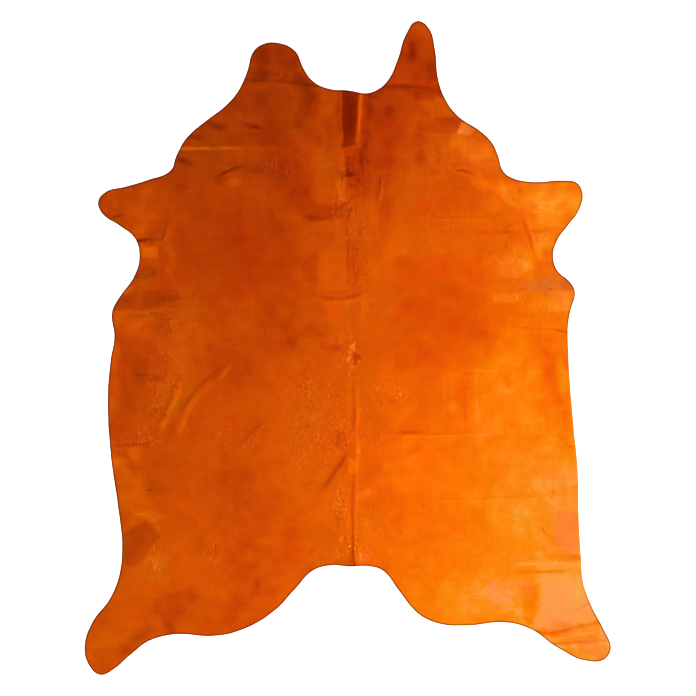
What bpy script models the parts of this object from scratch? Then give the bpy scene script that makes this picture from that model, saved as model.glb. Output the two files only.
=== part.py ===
"""A tanned and dyed cowhide, laid out on a floor with its outer side up.

It is one skin and one solid: an even thickness of leather, trimmed along its natural outline of cheeks, forelegs,
belly, hind legs and rump. It lies flat but for the ridges that its storage folds left, the pleat and ridge along the
spine, a few wrinkles, and the low swells where the skin has some slack.

Metres, +Z up. The head end points along +Y, the underside rests on z = 0, and the origin is under the middle of the
hide. Every place in the tables below is an x and a y on that floor.
"""

import math

import bmesh
import bpy
import numpy as np
from mathutils import Vector
from mathutils.geometry import delaunay_2d_cdt

# Driving dimensions.
THICKNESS = 0.0024  # a six ounce leather
OUTLINE_STEP = 0.022  # between points along the cut edge
MARGIN = 0.038  # from the cut edge to the first row of points inside it
FOLD_STEP = 0.028  # between points along a fold's crest
FIELD_STEP = 0.080  # between points of the open skin
EDGE_CLEARANCE = 0.008  # a point inside the skin keeps this far from the cut edge
FOLD_SPACING = 0.007  # the least distance from a point of a fold to the points before it
MARGIN_SPACING = 0.016  # the same for a point of the row inside the cut edge
FIELD_SPACING = 0.050  # the same for a point of the open skin
INSIDE_ONLY = 1  # makes the Delaunay net keep its triangles inside the outline
MERGE_DISTANCE = 1e-6

# The outline, clockwise from the nape. Half of the length and of the width of the hide are its largest y and x.
OUTLINE = (
    # place, x, y
    ("nape", 0.000, 0.900),
    ("nape dip", 0.058, 0.890),
    ("nape, right", 0.100, 0.900),
    ("right cheek, inner root", 0.145, 0.940),
    ("right cheek, inner side", 0.178, 1.015),
    ("right cheek, inner top", 0.207, 1.100),
    ("right cheek tip", 0.243, 1.142),
    ("right cheek, outer top", 0.280, 1.121),
    ("right cheek, outer side", 0.303, 1.048),
    ("right cheek, outer root", 0.314, 0.945),
    ("right neck", 0.335, 0.880),
    ("right neck hollow", 0.383, 0.812),
    ("right shoulder top", 0.458, 0.761),
    ("right shoulder", 0.503, 0.718),
    ("right shoulder, low", 0.527, 0.664),
    ("right shoulder hollow", 0.540, 0.622),
    ("right foreleg, upper root", 0.568, 0.597),
    ("right foreleg, upper side", 0.640, 0.580),
    ("right foreleg, upper end", 0.755, 0.584),
    ("right forefoot, top", 0.800, 0.577),
    ("right forefoot", 0.820, 0.542),
    ("right forefoot, low", 0.808, 0.485),
    ("right foreleg, lower side", 0.768, 0.428),
    ("right armpit, top", 0.733, 0.380),
    ("right armpit", 0.717, 0.325),
    ("right armpit, low", 0.732, 0.270),
    ("right elbow, top", 0.775, 0.231),
    ("right elbow", 0.793, 0.195),
    ("right elbow, low", 0.780, 0.140),
    ("right chest", 0.770, 0.085),
    ("right belly, front", 0.770, -0.010),
    ("right belly, middle", 0.785, -0.235),
    ("right belly, back", 0.804, -0.440),
    ("right flank", 0.806, -0.570),
    ("right stifle", 0.815, -0.740),
    ("right stifle, low", 0.822, -0.820),
    ("right hock", 0.850, -0.900),
    ("right hind leg, outer side", 0.900, -0.997),
    ("right hind foot, outer side", 0.919, -1.045),
    ("right hind foot, tip", 0.900, -1.086),
    ("right hind foot, inner side", 0.840, -1.094),
    ("right hind leg, inner side", 0.738, -1.049),
    ("right hind leg, inner root", 0.640, -0.982),
    ("right thigh", 0.555, -0.959),
    ("right buttock, outer", 0.410, -0.970),
    ("right buttock, low", 0.320, -0.963),
    ("right buttock, inner", 0.250, -0.930),
    ("right rump", 0.180, -0.848),
    ("right of the tail", 0.125, -0.779),
    ("tail, right", 0.080, -0.763),
    ("tail root", 0.000, -0.763),
    ("tail, left", -0.058, -0.759),
    ("left of the tail", -0.123, -0.778),
    ("left rump", -0.185, -0.842),
    ("left buttock, inner", -0.255, -0.916),
    ("left buttock, low", -0.375, -0.986),
    ("left buttock, outer", -0.470, -1.006),
    ("left thigh", -0.610, -1.001),
    ("left hind leg, inner root", -0.700, -1.026),
    ("left hind leg, inner side", -0.760, -1.071),
    ("left hind foot, inner side", -0.825, -1.126),
    ("left hind foot, tip", -0.866, -1.142),
    ("left hind foot, low", -0.902, -1.112),
    ("left hind foot, outer side", -0.919, -1.045),
    ("left hind leg, outer side", -0.895, -0.966),
    ("left hock", -0.830, -0.876),
    ("left stifle, low", -0.799, -0.800),
    ("left stifle", -0.788, -0.690),
    ("left flank", -0.803, -0.550),
    ("left belly, back", -0.827, -0.380),
    ("left belly, middle", -0.838, -0.190),
    ("left belly, front", -0.829, -0.050),
    ("left chest", -0.815, 0.045),
    ("left elbow", -0.824, 0.122),
    ("left elbow, top", -0.803, 0.168),
    ("left armpit, low", -0.745, 0.252),
    ("left armpit", -0.727, 0.322),
    ("left armpit, top", -0.744, 0.385),
    ("left foreleg, lower side", -0.800, 0.431),
    ("left forefoot, low", -0.858, 0.472),
    ("left forefoot", -0.872, 0.512),
    ("left forefoot, top", -0.842, 0.547),
    ("left foreleg, upper side", -0.788, 0.560),
    ("left foreleg, upper root", -0.695, 0.588),
    ("left shoulder hollow", -0.617, 0.622),
    ("left shoulder, low", -0.598, 0.673),
    ("left shoulder", -0.560, 0.737),
    ("left shoulder top", -0.490, 0.797),
    ("left neck hollow", -0.428, 0.845),
    ("left neck", -0.380, 0.902),
    ("left cheek, outer root", -0.348, 0.975),
    ("left cheek, outer side", -0.330, 1.035),
    ("left cheek, outer top", -0.295, 1.062),
    ("left cheek tip", -0.245, 1.066),
    ("left cheek, inner top", -0.183, 1.036),
    ("left cheek, inner side", -0.160, 0.985),
    ("left cheek, inner root", -0.125, 0.935),
    ("nape, left", -0.065, 0.905),
)

# The folds: the crest's height, how wide its left and right flanks are to someone who walks along the crest, the share
# of the height that is left at the start and at the end (1 where the fold runs out over the cut edge), and the crest.
FOLDS = (
    # name, height, left, right, start, end, crest
    ("neck pleat", 0.012, 0.050, 0.016, 0.6, 1, ((0.031, 0.703), (0.036, 0.798), (0.041, 0.905))),
    ("pleat's tail", 0.006, 0.040, 0.014, 0, 1, ((0.010, 0.600), (0.020, 0.660), (0.031, 0.703))),
    ("spine, shoulders", 0.003, 0.014, 0.014, 0, 0, ((0.003, 0.170), (0.000, 0.400), (0.010, 0.610))),
    ("spine, loin", 0.005, 0.014, 0.014, 1, 0, ((0.026, -0.450), (0.022, -0.200), (0.018, 0.030))),
    ("spine, rump", 0.008, 0.016, 0.016, 1, 0.6, ((0.020, -0.775), (0.024, -0.600), (0.026, -0.450))),
    ("spine tuck", 0.006, 0.016, 0.016, 0, 0, ((-0.100, -0.517), (-0.041, -0.434), (0.008, -0.358))),
    ("left nape crossing", 0.004, 0.014, 0.012, 1, 1, ((-0.370, 0.935), (-0.110, 0.927))),
    ("right nape crossing", 0.004, 0.014, 0.012, 1, 1, ((0.120, 0.924), (0.350, 0.928))),
    ("left shoulder crossing", 0.008, 0.030, 0.016, 1, 0, ((-0.610, 0.703), (-0.377, 0.707), (-0.120, 0.705))),
    ("left elbow crossing", 0.007, 0.035, 0.018, 1, 0, ((-0.840, 0.147), (-0.692, 0.157), (-0.500, 0.164))),
    ("back crossing", 0.004, 0.018, 0.012, 0, 0, ((-0.150, 0.180), (-0.010, 0.179), (0.150, 0.207))),
    ("right chest crossing", 0.003, 0.014, 0.014, 0, 0, ((0.250, 0.458), (0.410, 0.458), (0.590, 0.462))),
    ("right foreleg crossing", 0.004, 0.016, 0.014, 0, 1, ((0.450, 0.405), (0.638, 0.410), (0.780, 0.415))),
    ("right elbow crossing", 0.005, 0.014, 0.014, 0, 1, ((0.540, 0.070), (0.673, 0.066), (0.790, 0.058))),
    ("right belly crossing", 0.004, 0.018, 0.014, 0, 0, ((0.070, -0.312), (0.288, -0.308), (0.540, -0.312))),
    ("right flank crossing", 0.004, 0.014, 0.014, 0, 0, ((0.150, -0.532), (0.463, -0.523), (0.760, -0.518))),
    ("right stifle, upper roll", 0.006, 0.032, 0.024, 0, 1, ((0.530, -0.745), (0.680, -0.742), (0.840, -0.733))),
    ("right stifle, lower roll", 0.007, 0.028, 0.045, 0, 1, ((0.510, -0.814), (0.680, -0.810), (0.850, -0.800))),
    ("left flank fold", 0.009, 0.024, 0.024, 0, 0, ((-0.405, -0.030), (-0.500, -0.140), (-0.559, -0.189),
                                                    (-0.587, -0.242), (-0.635, -0.355))),
    ("left flank fold, outer", 0.006, 0.020, 0.020, 0, 0, ((-0.550, -0.062), (-0.594, -0.154), (-0.626, -0.214),
                                                           (-0.667, -0.300))),
    ("left loin wrinkle", 0.005, 0.014, 0.014, 0, 0, ((-0.272, -0.222), (-0.321, -0.280), (-0.370, -0.350))),
    ("left stifle rim", 0.006, 0.016, 0.030, 1, 0, ((-0.810, -0.625), (-0.755, -0.581), (-0.692, -0.578),
                                                    (-0.650, -0.660))),
    ("left armpit fold", 0.006, 0.014, 0.016, 1, 0, ((-0.760, 0.374), (-0.682, 0.379), (-0.643, 0.399),
                                                     (-0.625, 0.455))),
    ("right armpit fold", 0.005, 0.016, 0.014, 0, 0, ((0.595, 0.492), (0.631, 0.396), (0.658, 0.295))),
    ("right shoulder wrinkle", 0.004, 0.014, 0.012, 0, 0, ((0.365, 0.622), (0.421, 0.620), (0.473, 0.603))),
    ("right hock wrinkle", 0.004, 0.012, 0.012, 0, 1, ((0.768, -0.930), (0.820, -0.905), (0.870, -0.880))),
    ("right shin wrinkle", 0.005, 0.014, 0.014, 1, 1, ((0.655, -1.006), (0.773, -0.984), (0.900, -0.950))),
    ("right foot wrinkle", 0.004, 0.012, 0.012, 1, 1, ((0.690, -1.033), (0.835, -1.028), (0.930, -1.020))),
)

# The swells: low mounds where the skin is slack, each an ellipse that fades out at its rim.
SWELLS = (
    # name, height, x, y, half length, half width, turn in degrees of the length from +X
    ("left cheek", 0.007, -0.260, 1.080, 0.130, 0.100, 90),
    ("right cheek", 0.006, 0.250, 1.150, 0.160, 0.090, 90),
    ("left shoulder", 0.008, -0.480, 0.640, 0.200, 0.090, 10),
    ("right shoulder", 0.008, 0.450, 0.700, 0.160, 0.100, -30),
    ("left forefoot", 0.009, -0.880, 0.510, 0.150, 0.110, 20),
    ("right forefoot", 0.008, 0.830, 0.540, 0.150, 0.110, -10),
    ("left elbow", 0.006, -0.820, 0.210, 0.120, 0.090, 60),
    ("right elbow", 0.007, 0.790, 0.190, 0.110, 0.090, 110),
    ("left belly", 0.005, -0.850, -0.250, 0.260, 0.080, 90),
    ("right belly", 0.006, 0.790, -0.200, 0.220, 0.090, 90),
    ("left stifle", 0.006, -0.740, -0.720, 0.140, 0.090, 80),
    ("right thigh", 0.006, 0.780, -0.640, 0.110, 0.080, 90),
    ("left hind foot", 0.012, -0.900, -1.100, 0.210, 0.120, 50),
    ("right hind foot", 0.010, 0.910, -1.060, 0.190, 0.110, -40),
    ("left buttock", 0.005, -0.380, -0.990, 0.160, 0.090, 10),
    ("right buttock", 0.005, 0.340, -0.970, 0.150, 0.090, 0),
    ("neck, left of the pleat", 0.004, -0.090, 0.800, 0.150, 0.080, 90),
)

LEATHER_COLOUR = (0.64, 0.10, 0.004, 1)
LEATHER_ROUGHNESS = 0.5


def smooth_loop():
    """The outline as a closed curve through its points, cut into equal steps."""
    curve = bpy.data.curves.new("outline", "CURVE")
    spline = curve.splines.new("BEZIER")
    spline.bezier_points.add(len(OUTLINE) - 1)
    spline.use_cyclic_u = True
    for knot, (_, x, y) in zip(spline.bezier_points, OUTLINE):
        knot.co = (x, y, 0)
        knot.handle_left_type = knot.handle_right_type = "AUTO"
    guide = bpy.data.objects.new("outline", curve)
    bpy.context.scene.collection.objects.link(guide)
    bpy.context.view_layer.update()
    line = np.array([v.co.xy for v in bpy.data.meshes.new_from_object(guide).vertices])
    bpy.data.objects.remove(guide)
    return spaced(np.vstack([line, line[:1]]), OUTLINE_STEP)[:-1]


def spaced(line, step):
    """The same line with its points evenly spaced, about step apart."""
    along = np.concatenate([[0], np.cumsum(np.linalg.norm(np.diff(line, axis=0), axis=1))])
    places = np.linspace(0, along[-1], max(2, round(along[-1] / step) + 1))
    return np.stack([np.interp(places, along, line[:, k]) for k in range(2)], axis=1)


def nearest_on(line, point):
    """How far the nearest place on a line is from a point, that place's share of the line's length, and the side."""
    start, run = line[:-1], np.diff(line, axis=0)
    length = np.linalg.norm(run, axis=1)
    share = np.clip(((point - start) * run).sum(axis=1) / length**2, 0, 1)
    away = point - start - share[:, None] * run
    gaps = np.linalg.norm(away, axis=1)
    i = int(gaps.argmin())
    on_left = run[i, 0] * away[i, 1] - run[i, 1] * away[i, 0] > 0
    return gaps[i], (length[:i].sum() + share[i] * length[i]) / length.sum(), on_left


def fade(share):
    """1 at a share of 0, 0 from a share of 1, level at both ends."""
    return 0.5 + 0.5 * math.cos(math.pi * min(1, share))


def fold_height(fold, point):
    _, height, left, right, start, end, crest = fold
    gap, along, on_left = nearest_on(np.array(crest), point)
    ends = min(start + (1 - start) * (1 - fade(3 * along)), end + (1 - end) * (1 - fade(3 * (1 - along))))
    return height * ends * fade(gap / (left if on_left else right))


def swell_height(swell, point):
    _, height, x, y, half_length, half_width, turn = swell
    angle = math.radians(turn)
    dx, dy = point[0] - x, point[1] - y
    along = (dx * math.cos(angle) + dy * math.sin(angle)) / half_length
    across = (dy * math.cos(angle) - dx * math.sin(angle)) / half_width
    return height * fade(math.hypot(along, across))


def lift(point):
    """How high the underside lies above the floor. Folds that cross blend into the higher one and don't add up."""
    folds = sum(fold_height(fold, point) ** 3 for fold in FOLDS) ** (1 / 3)
    return folds + sum(swell_height(swell, point) for swell in SWELLS)


def to_left(run):
    """The directions square to those of run, to the left of them, one unit long."""
    return np.stack([-run[:, 1], run[:, 0]], axis=1) / np.linalg.norm(run, axis=1)[:, None]


def fold_rows():
    """Points in rows along each fold: its crest, and the middle and the foot of both flanks."""
    for _, _, left, right, _, _, crest in FOLDS:
        line = spaced(np.array(crest), FOLD_STEP)
        for offset in (0, left / 2, -right / 2, left, -right):
            yield from line + offset * to_left(np.gradient(line, axis=0))


def margin_row(loop):
    """Points along the inside of the cut edge, whose loop runs clockwise."""
    yield from loop - MARGIN * to_left(np.roll(loop, -1, axis=0) - np.roll(loop, 1, axis=0))


def field_rows():
    """Staggered rows of points over the hide's whole box."""
    half = np.abs([row[1:] for row in OUTLINE]).max(axis=0)
    row_gap = FIELD_STEP * math.sqrt(3) / 2
    for j in range(-int(half[1] / row_gap), int(half[1] / row_gap) + 1):
        shift = FIELD_STEP / 2 if j % 2 else 0
        for i in range(-int(half[0] / FIELD_STEP) - 1, int(half[0] / FIELD_STEP) + 1):
            yield np.array([i * FIELD_STEP + shift, j * row_gap])


def is_inside(loop, point):
    """Whether a ray from the point crosses the closed loop an odd number of times."""
    after = np.roll(loop, -1, axis=0)
    crossing = (loop[:, 1] > point[1]) != (after[:, 1] > point[1])
    a, b = loop[crossing], after[crossing]
    reach = a[:, 0] + (point[1] - a[:, 1]) / (b[:, 1] - a[:, 1]) * (b[:, 0] - a[:, 0])
    return np.count_nonzero(reach > point[0]) % 2 == 1


def points_of(loop):
    """The outline's points first, then those inside it, with none crowded."""
    closed = np.vstack([loop, loop[:1]])
    kept = list(loop)
    rows_and_spacing = (
        (fold_rows(), FOLD_SPACING),
        (margin_row(loop), MARGIN_SPACING),
        (field_rows(), FIELD_SPACING),
    )
    for rows, spacing in rows_and_spacing:
        for point in rows:
            if not is_inside(loop, point) or nearest_on(closed, point)[0] < EDGE_CLEARANCE:
                continue
            if np.linalg.norm(np.array(kept) - point, axis=1).min() >= spacing:
                kept.append(point)
    return kept


def leather():
    material = bpy.data.materials.new("dyed_leather")
    material.use_nodes = True
    shader = material.node_tree.nodes["Principled BSDF"]
    shader.inputs["Base Color"].default_value = LEATHER_COLOUR
    shader.inputs["Roughness"].default_value = LEATHER_ROUGHNESS
    shader.inputs["Metallic"].default_value = 0
    return material


def make_hide():
    """The underside as a triangle net at its true height over the floor, then thickened upwards. Its folds are shaded
    smooth and its cut edge sharp."""
    loop = smooth_loop()
    points = points_of(loop)
    rim = list(range(len(loop)))
    flat, _, triangles, *_ = delaunay_2d_cdt([Vector(p) for p in points], [], [rim], INSIDE_ONLY, MERGE_DISTANCE)
    net = bmesh.new()
    corners = [net.verts.new((p.x, p.y, lift(np.array(p)))) for p in flat]
    for triangle in triangles:
        net.faces.new([corners[i] for i in triangle]).smooth = True
    for edge in net.edges:
        edge.smooth = not edge.is_boundary
    mesh = bpy.data.meshes.new("hide")
    net.to_mesh(mesh)
    net.free()
    mesh.materials.append(leather())
    hide = bpy.data.objects.new("hide", mesh)
    bpy.context.scene.collection.objects.link(hide)
    thicken = hide.modifiers.new("thickness", "SOLIDIFY")
    thicken.thickness = THICKNESS
    thicken.offset = 1
    return hide


def main():
    for left_over in list(bpy.data.objects):
        bpy.data.objects.remove(left_over)
    make_hide()


main()
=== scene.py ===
"""A dyed cowhide laid out on a pale studio floor. Metres, +Z up; the neck points along +Y, the floor is at z = 0."""

import math

import bpy
import numpy as np
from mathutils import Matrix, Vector, kdtree, noise
from mathutils.geometry import delaunay_2d_cdt


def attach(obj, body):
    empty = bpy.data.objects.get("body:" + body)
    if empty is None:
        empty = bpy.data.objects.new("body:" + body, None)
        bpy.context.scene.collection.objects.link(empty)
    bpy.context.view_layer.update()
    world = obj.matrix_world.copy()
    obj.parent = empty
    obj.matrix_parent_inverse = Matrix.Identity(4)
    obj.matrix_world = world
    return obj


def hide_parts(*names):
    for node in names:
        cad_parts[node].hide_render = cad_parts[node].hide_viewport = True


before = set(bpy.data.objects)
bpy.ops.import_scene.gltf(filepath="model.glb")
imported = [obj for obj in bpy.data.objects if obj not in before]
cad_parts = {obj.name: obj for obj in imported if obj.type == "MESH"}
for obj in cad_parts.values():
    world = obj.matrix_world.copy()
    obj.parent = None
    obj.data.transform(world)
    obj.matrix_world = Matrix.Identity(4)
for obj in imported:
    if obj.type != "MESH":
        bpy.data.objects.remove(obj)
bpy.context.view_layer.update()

# The cut edge. The tanner trims the wet skin with a knife along its own outline, so the edge runs in long smooth
# sweeps round cheeks, forelegs, belly and hind legs, and only wavers by less than the width of the blade.
EDGE_STEP = 0.006
KNIFE_WAVER = 0.0007
EDGE_EASE = 0.0019  # how far outside the solid's corners the rounded edge runs
WAVER_LENGTH = 0.045
SPAN_STEPS = 12  # steps from one point of a smooth line to the next
WELD_PLACES = 5  # corners of the solid that agree to this many decimals are one
FACES_DOWN = -0.5


def curve_through(points, step, closed=False):
    """A smooth line through the points, cut into equal steps of about this length."""
    points = np.array(points, float)
    if closed:
        knots = np.vstack([points[-1], points, points[:2]])
    else:
        knots = np.vstack([2 * points[0] - points[1], points, 2 * points[-1] - points[-2]])
    t = np.arange(0, 1, 1 / SPAN_STEPS)[:, None]
    spans = [
        b + (c - a) * t / 2 + (2 * a - 5 * b + 4 * c - d) * t**2 / 2 + (3 * b - a - 3 * c + d) * t**3 / 2
        for a, b, c, d in zip(knots, knots[1:], knots[2:], knots[3:])
    ]
    line = np.vstack([*spans, knots[-2]])
    along = np.concatenate([[0], np.cumsum(np.linalg.norm(np.diff(line, axis=0), axis=1))])
    places = np.linspace(0, along[-1], max(2, round(along[-1] / step) + 1))
    return np.stack([np.interp(places, along, line[:, k]) for k in (0, 1)], axis=1)


def to_left(run):
    """The directions square to those of run, to the left of them, one unit long."""
    return np.stack([-run[:, 1], run[:, 0]], axis=1) / np.linalg.norm(run, axis=1)[:, None]


def rim_of(solid):
    """The corners round a solid's underside, in order, with the skin on their left."""
    mesh = solid.data
    mesh.calc_loop_triangles()
    spots, spot_of = np.unique(np.round([v.co for v in mesh.vertices], WELD_PLACES), axis=0, return_inverse=True)
    spot_of = spot_of.reshape(-1)
    sides = set()
    for triangle in mesh.loop_triangles:
        if triangle.normal.z < FACES_DOWN:
            a, b, c = spot_of[list(triangle.vertices)]
            sides |= {(a, b), (b, c), (c, a)}
    after = {b: a for a, b in sides if (b, a) not in sides}
    walk = [min(after)]
    while after[walk[-1]] != walk[0]:
        walk.append(after[walk[-1]])
    return spots[walk, :2]


edge = curve_through(rim_of(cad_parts["hide"]), EDGE_STEP, closed=True)[:-1]
inward = to_left(np.roll(edge, -1, axis=0) - np.roll(edge, 1, axis=0))
waver = [noise.noise(Vector((*point, 0)) / WAVER_LENGTH) for point in edge]
edge = edge + (KNIFE_WAVER * np.array(waver)[:, None] - EDGE_EASE) * inward

# How the skin lies. It was dried flat, dyed, rolled and folded for storage, so most of it lies on the floor but for
# the pleat and the ridge along the spine, the straight creases of the folding, wrinkles at the legs and broad slack.


def in_metres(lengths, table):
    """The table with the columns of these numbers, written in millimetres, in metres."""
    return [
        [np.array(value) / 1000 if column in lengths else value for column, value in enumerate(row)] for row in table
    ]


FOLDS = in_metres((1, 2, 3, 7), (
    # name, height (a furrow's is below 0), left flank, right flank, share of the height left at the start and at the
    # end, how straight the flanks are (0 rounded, 1 like a tent), crest
    ("neck pleat", 13, 45, 17, 0.9, 0.6, 0.9, ((32, 706), (37, 798), (43, 905))),
    ("pleat's tail", 4, 40, 12, 0, 1, 0.5, ((14, 600), (24, 660), (32, 703))),
    ("spine, shoulders", 2, 12, 12, 0, 0, 0, ((5, 170), (3, 400), (10, 610))),
    ("spine, loin", 3, 10, 13, 1, 0, 0.3, ((26, -450), (27, -200), (20, -60))),
    ("spine, rump", 5, 9, 11, 1, 0.6, 0.4, ((25, -775), (23, -600), (26, -450))),
    ("spine tuck", 1.6, 20, 16, 0, 0, 0.1, ((-100, -521), (-45, -457), (-12, -408), (8, -365))),
    ("left nape crossing", 1, 16, 12, 1, 1, 0.2, ((-370, 929), (-240, 925), (-110, 908))),
    ("right nape furrow", -3, 20, 16, 1, 1, 0.2, ((120, 921), (230, 923), (350, 921))),
    ("left nape wrinkle", 2, 10, 10, 0, 0, 0.2, ((-378, 781), (-350, 766), (-298, 761))),
    ("left shoulder crossing", 2, 34, 14, 1, 0, 0.4, ((-610, 706), (-377, 708), (-120, 707))),
    ("left shoulder edge, upper", 2, 14, 12, 1, 0, 0.2, ((-580, 728), (-530, 724), (-485, 711))),
    ("left shoulder edge, lower", 3, 16, 14, 1, 0, 0.2, ((-620, 657), (-568, 638), (-528, 620))),
    ("left shoulder wrinkle", 3, 10, 14, 0, 0, 0.3, ((-450, 594), (-415, 613), (-340, 628))),
    ("nape crossing", 1.5, 12, 12, 0, 1, 0.3, ((-190, 706), (-90, 704), (25, 706))),
    ("left elbow crossing", 1.6, 30, 16, 1, 0, 0.3, ((-840, 139), (-692, 141), (-500, 148))),
    ("back crossing", 1.8, 18, 12, 0, 0, 0.3, ((-140, 176), (0, 168), (38, 178), (85, 205))),
    ("right chest crossing", 1.2, 8, 8, 0, 0, 0.2, ((250, 454), (410, 453), (590, 458))),
    ("right foreleg crossing", 1.2, 16, 14, 0, 1, 0.1, ((450, 398), (638, 400), (780, 412))),
    ("right side crossing", 2, 12, 12, 0, 1, 0.2, ((540, 66), (673, 60), (790, 48))),
    ("right belly crossing", 1.6, 20, 9, 0, 0, 0.3, ((70, -303), (288, -302), (540, -309))),
    ("right flank crossing", 0.8, 10, 10, 0, 0, 0.3, ((150, -540), (463, -530), (760, -520))),
    ("right stifle, upper roll", 2, 22, 26, 0, 1, 0, ((540, -752), (680, -743), (840, -740))),
    ("right stifle, lower roll", 2, 20, 34, 0, 1, 0, ((540, -797), (680, -794), (850, -790))),
    ("left flank fold", 3, 26, 28, 0, 0, 0.1,
     ((-405, -35), (-465, -106), (-507, -138), (-545, -180), (-575, -222), (-592, -262), (-620, -335))),
    ("left flank fold, outer", 2.4, 18, 26, 0, 0, 0.1,
     ((-565, -85), (-600, -160), (-625, -215), (-650, -270), (-685, -330))),
    ("left loin wrinkle", 1.7, 12, 12, 0, 0, 0.2, ((-272, -250), (-322, -288), (-364, -342))),
    ("left belly crossing", 1.8, 10, 12, 1, 0, 0.2, ((-830, -350), (-740, -344), (-665, -342))),
    ("left stifle rim", 1.3, 14, 20, 1, 0, 0, ((-810, -625), (-755, -590), (-692, -584), (-655, -655))),
    ("left armpit fold", 4, 14, 16, 1, 0, 0.4, ((-760, 364), (-690, 369), (-643, 382), (-626, 455))),
    ("right armpit fold", 2.4, 12, 16, 0, 0, 0.3, ((609, 474), (632, 418), (645, 385), (667, 303))),
    ("right shoulder wrinkle", 2.8, 9, 12, 0, 0, 0.2, ((363, 608), (400, 615), (455, 594))),
    ("right hock wrinkle", 1.8, 8, 10, 0, 1, 0.2, ((780, -926), (820, -910), (870, -890))),
    ("right shin wrinkle", 2.2, 12, 14, 1, 1, 0.2, ((655, -1004), (705, -1009), (765, -994), (900, -960))),
    ("right foot wrinkle", 2.6, 10, 12, 1, 1, 0.2, ((685, -1044), (765, -1038), (930, -1026))),
))
SWELLS = in_metres((1, 2, 3, 4, 5), (
    # name, height, x, y, half length, half width, turn in degrees of the length from +X
    ("left cheek", 2.2, -260, 1040, 130, 100, 90),
    ("right cheek", 2, 250, 1090, 160, 90, 90),
    ("right cheek's root", 3, 230, 930, 160, 90, 0),
    ("left shoulder", 3.5, -450, 640, 200, 90, 10),
    ("right shoulder", 3.5, 420, 690, 160, 100, -30),
    ("left forefoot", 2.8, -790, 510, 150, 90, 10),
    ("right forefoot", 2.8, 730, 530, 150, 90, -5),
    ("left elbow", 2.4, -760, 210, 120, 90, 60),
    ("right elbow", 3, 740, 190, 110, 90, 110),
    ("left belly", 2.6, -770, -250, 260, 80, 90),
    ("right belly", 3, 720, -200, 220, 90, 90),
    ("left stifle", 3.6, -720, -700, 140, 90, 80),
    ("right thigh", 3.6, 750, -640, 110, 80, 90),
    ("left hind foot", 3.6, -820, -1010, 210, 110, 50),
    ("right hind foot", 3.6, 830, -990, 190, 100, -40),
    ("left buttock", 2.6, -380, -930, 160, 90, 10),
    ("right buttock", 2.6, 340, -900, 150, 90, 0),
    ("neck, left of the pleat", 3, -90, 800, 150, 80, 90),
    ("left ribs", 3, -330, 330, 300, 180, 70),
    ("right ribs", 3, 340, 180, 320, 170, 100),
    ("left loin", 2.6, -380, -520, 260, 180, 80),
))
RIPPLES = (
    # length, height
    (0.190, 0.0010),
    (0.075, 0.0004),
    (0.028, 0.00014),
)
LINE_WANDER = (
    # length, reach: how a crest or a mark strays from its smooth line
    (0.060, 0.0038),
    (0.018, 0.0016),
)
PRESSED = 0.8  # folds at least this straight were pressed, and run true
UNEVENNESS = 0.9  # how much a fold's height and a mark's strength vary along it
UNEVEN_LENGTH = 0.050
FOLD_END = 0.010  # how far a fold's end runs out past the last point of its crest
REST_SOFTNESS = 0.0004  # how gently the skin meets the floor
CREST_STEP = 0.007
MEETING = 4  # the higher, the less do ridges that meet add up
noise.seed_set(3)  # without a seed of its own the skin would lie and take the dye anew on every run


def fade(share):
    """1 at a share of 0, 0 from a share of 1 on, level at both ends."""
    return 0.5 + 0.5 * np.cos(np.pi * np.clip(share, 0, 1))


def noise_at(points, length):
    """Three smooth noises from -1 to 1 at each point, whose swells are about this long."""
    return np.array([noise.noise_vector(Vector((x, y, 0)) / length) for x, y in points])


def wander(points, strays):
    """How far a line or a patch strays at each point, by a table of lengths and reaches."""
    return sum(reach * noise_at(points, length)[:, :2] for length, reach in strays)


def beside(points, line):
    """Where points lie beside a line: how far off, on its left or not, their share of the way, how far past it."""
    gap = np.full(len(points), np.inf)
    aside, share, past = np.zeros((3, len(points)))
    length = np.linalg.norm(np.diff(line, axis=0), axis=1)
    before = np.concatenate([[0], np.cumsum(length)])
    last = len(length) - 1
    for i in range(last + 1):
        run = (line[i + 1] - line[i]) / length[i]
        offset = points - line[i]
        along = offset @ run
        held = np.clip(along, 0, length[i])
        distance = np.linalg.norm(offset - held[:, None] * run, axis=1)
        near = distance < gap
        gap[near] = distance[near]
        share[near] = (before[i] + held[near]) / before[-1]
        across = run[0] * offset[:, 1] - run[1] * offset[:, 0]
        short_of = np.maximum(-along, 0) * (i == 0)
        beyond = np.maximum(along - length[i], 0) * (i == last)
        aside[near] = np.where(short_of + beyond > 0, across, np.sign(across) * distance)[near]
        past[near] = (short_of + beyond)[near]
    return np.abs(aside), aside > 0, share, past


def near_to(points, line, reach):
    """Which points lie in the line's box, made larger by reach."""
    return ((points > line.min(axis=0) - reach) & (points < line.max(axis=0) + reach)).all(axis=1)


def taper(share, start, end):
    """The strength along a line, which rises from start over its first third and falls to end over its last."""
    return np.minimum(start + (1 - start) * (1 - fade(3 * share)), end + (1 - end) * (1 - fade(3 - 3 * share)))


def mound(points, x, y, half_length, half_width, turn, crispness=1):
    """A patch's share at each point: 1 in the middle, 0 from its rim on, the flatter and squarer the crisper."""
    angle = math.radians(turn)
    dx, dy = points[:, 0] - x, points[:, 1] - y
    along = (dx * math.cos(angle) + dy * math.sin(angle)) / half_length
    across = (dy * math.cos(angle) - dx * math.sin(angle)) / half_width
    roundness = 1 + crispness
    return fade((np.abs(along) ** roundness + np.abs(across) ** roundness) ** (crispness / roundness))


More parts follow.
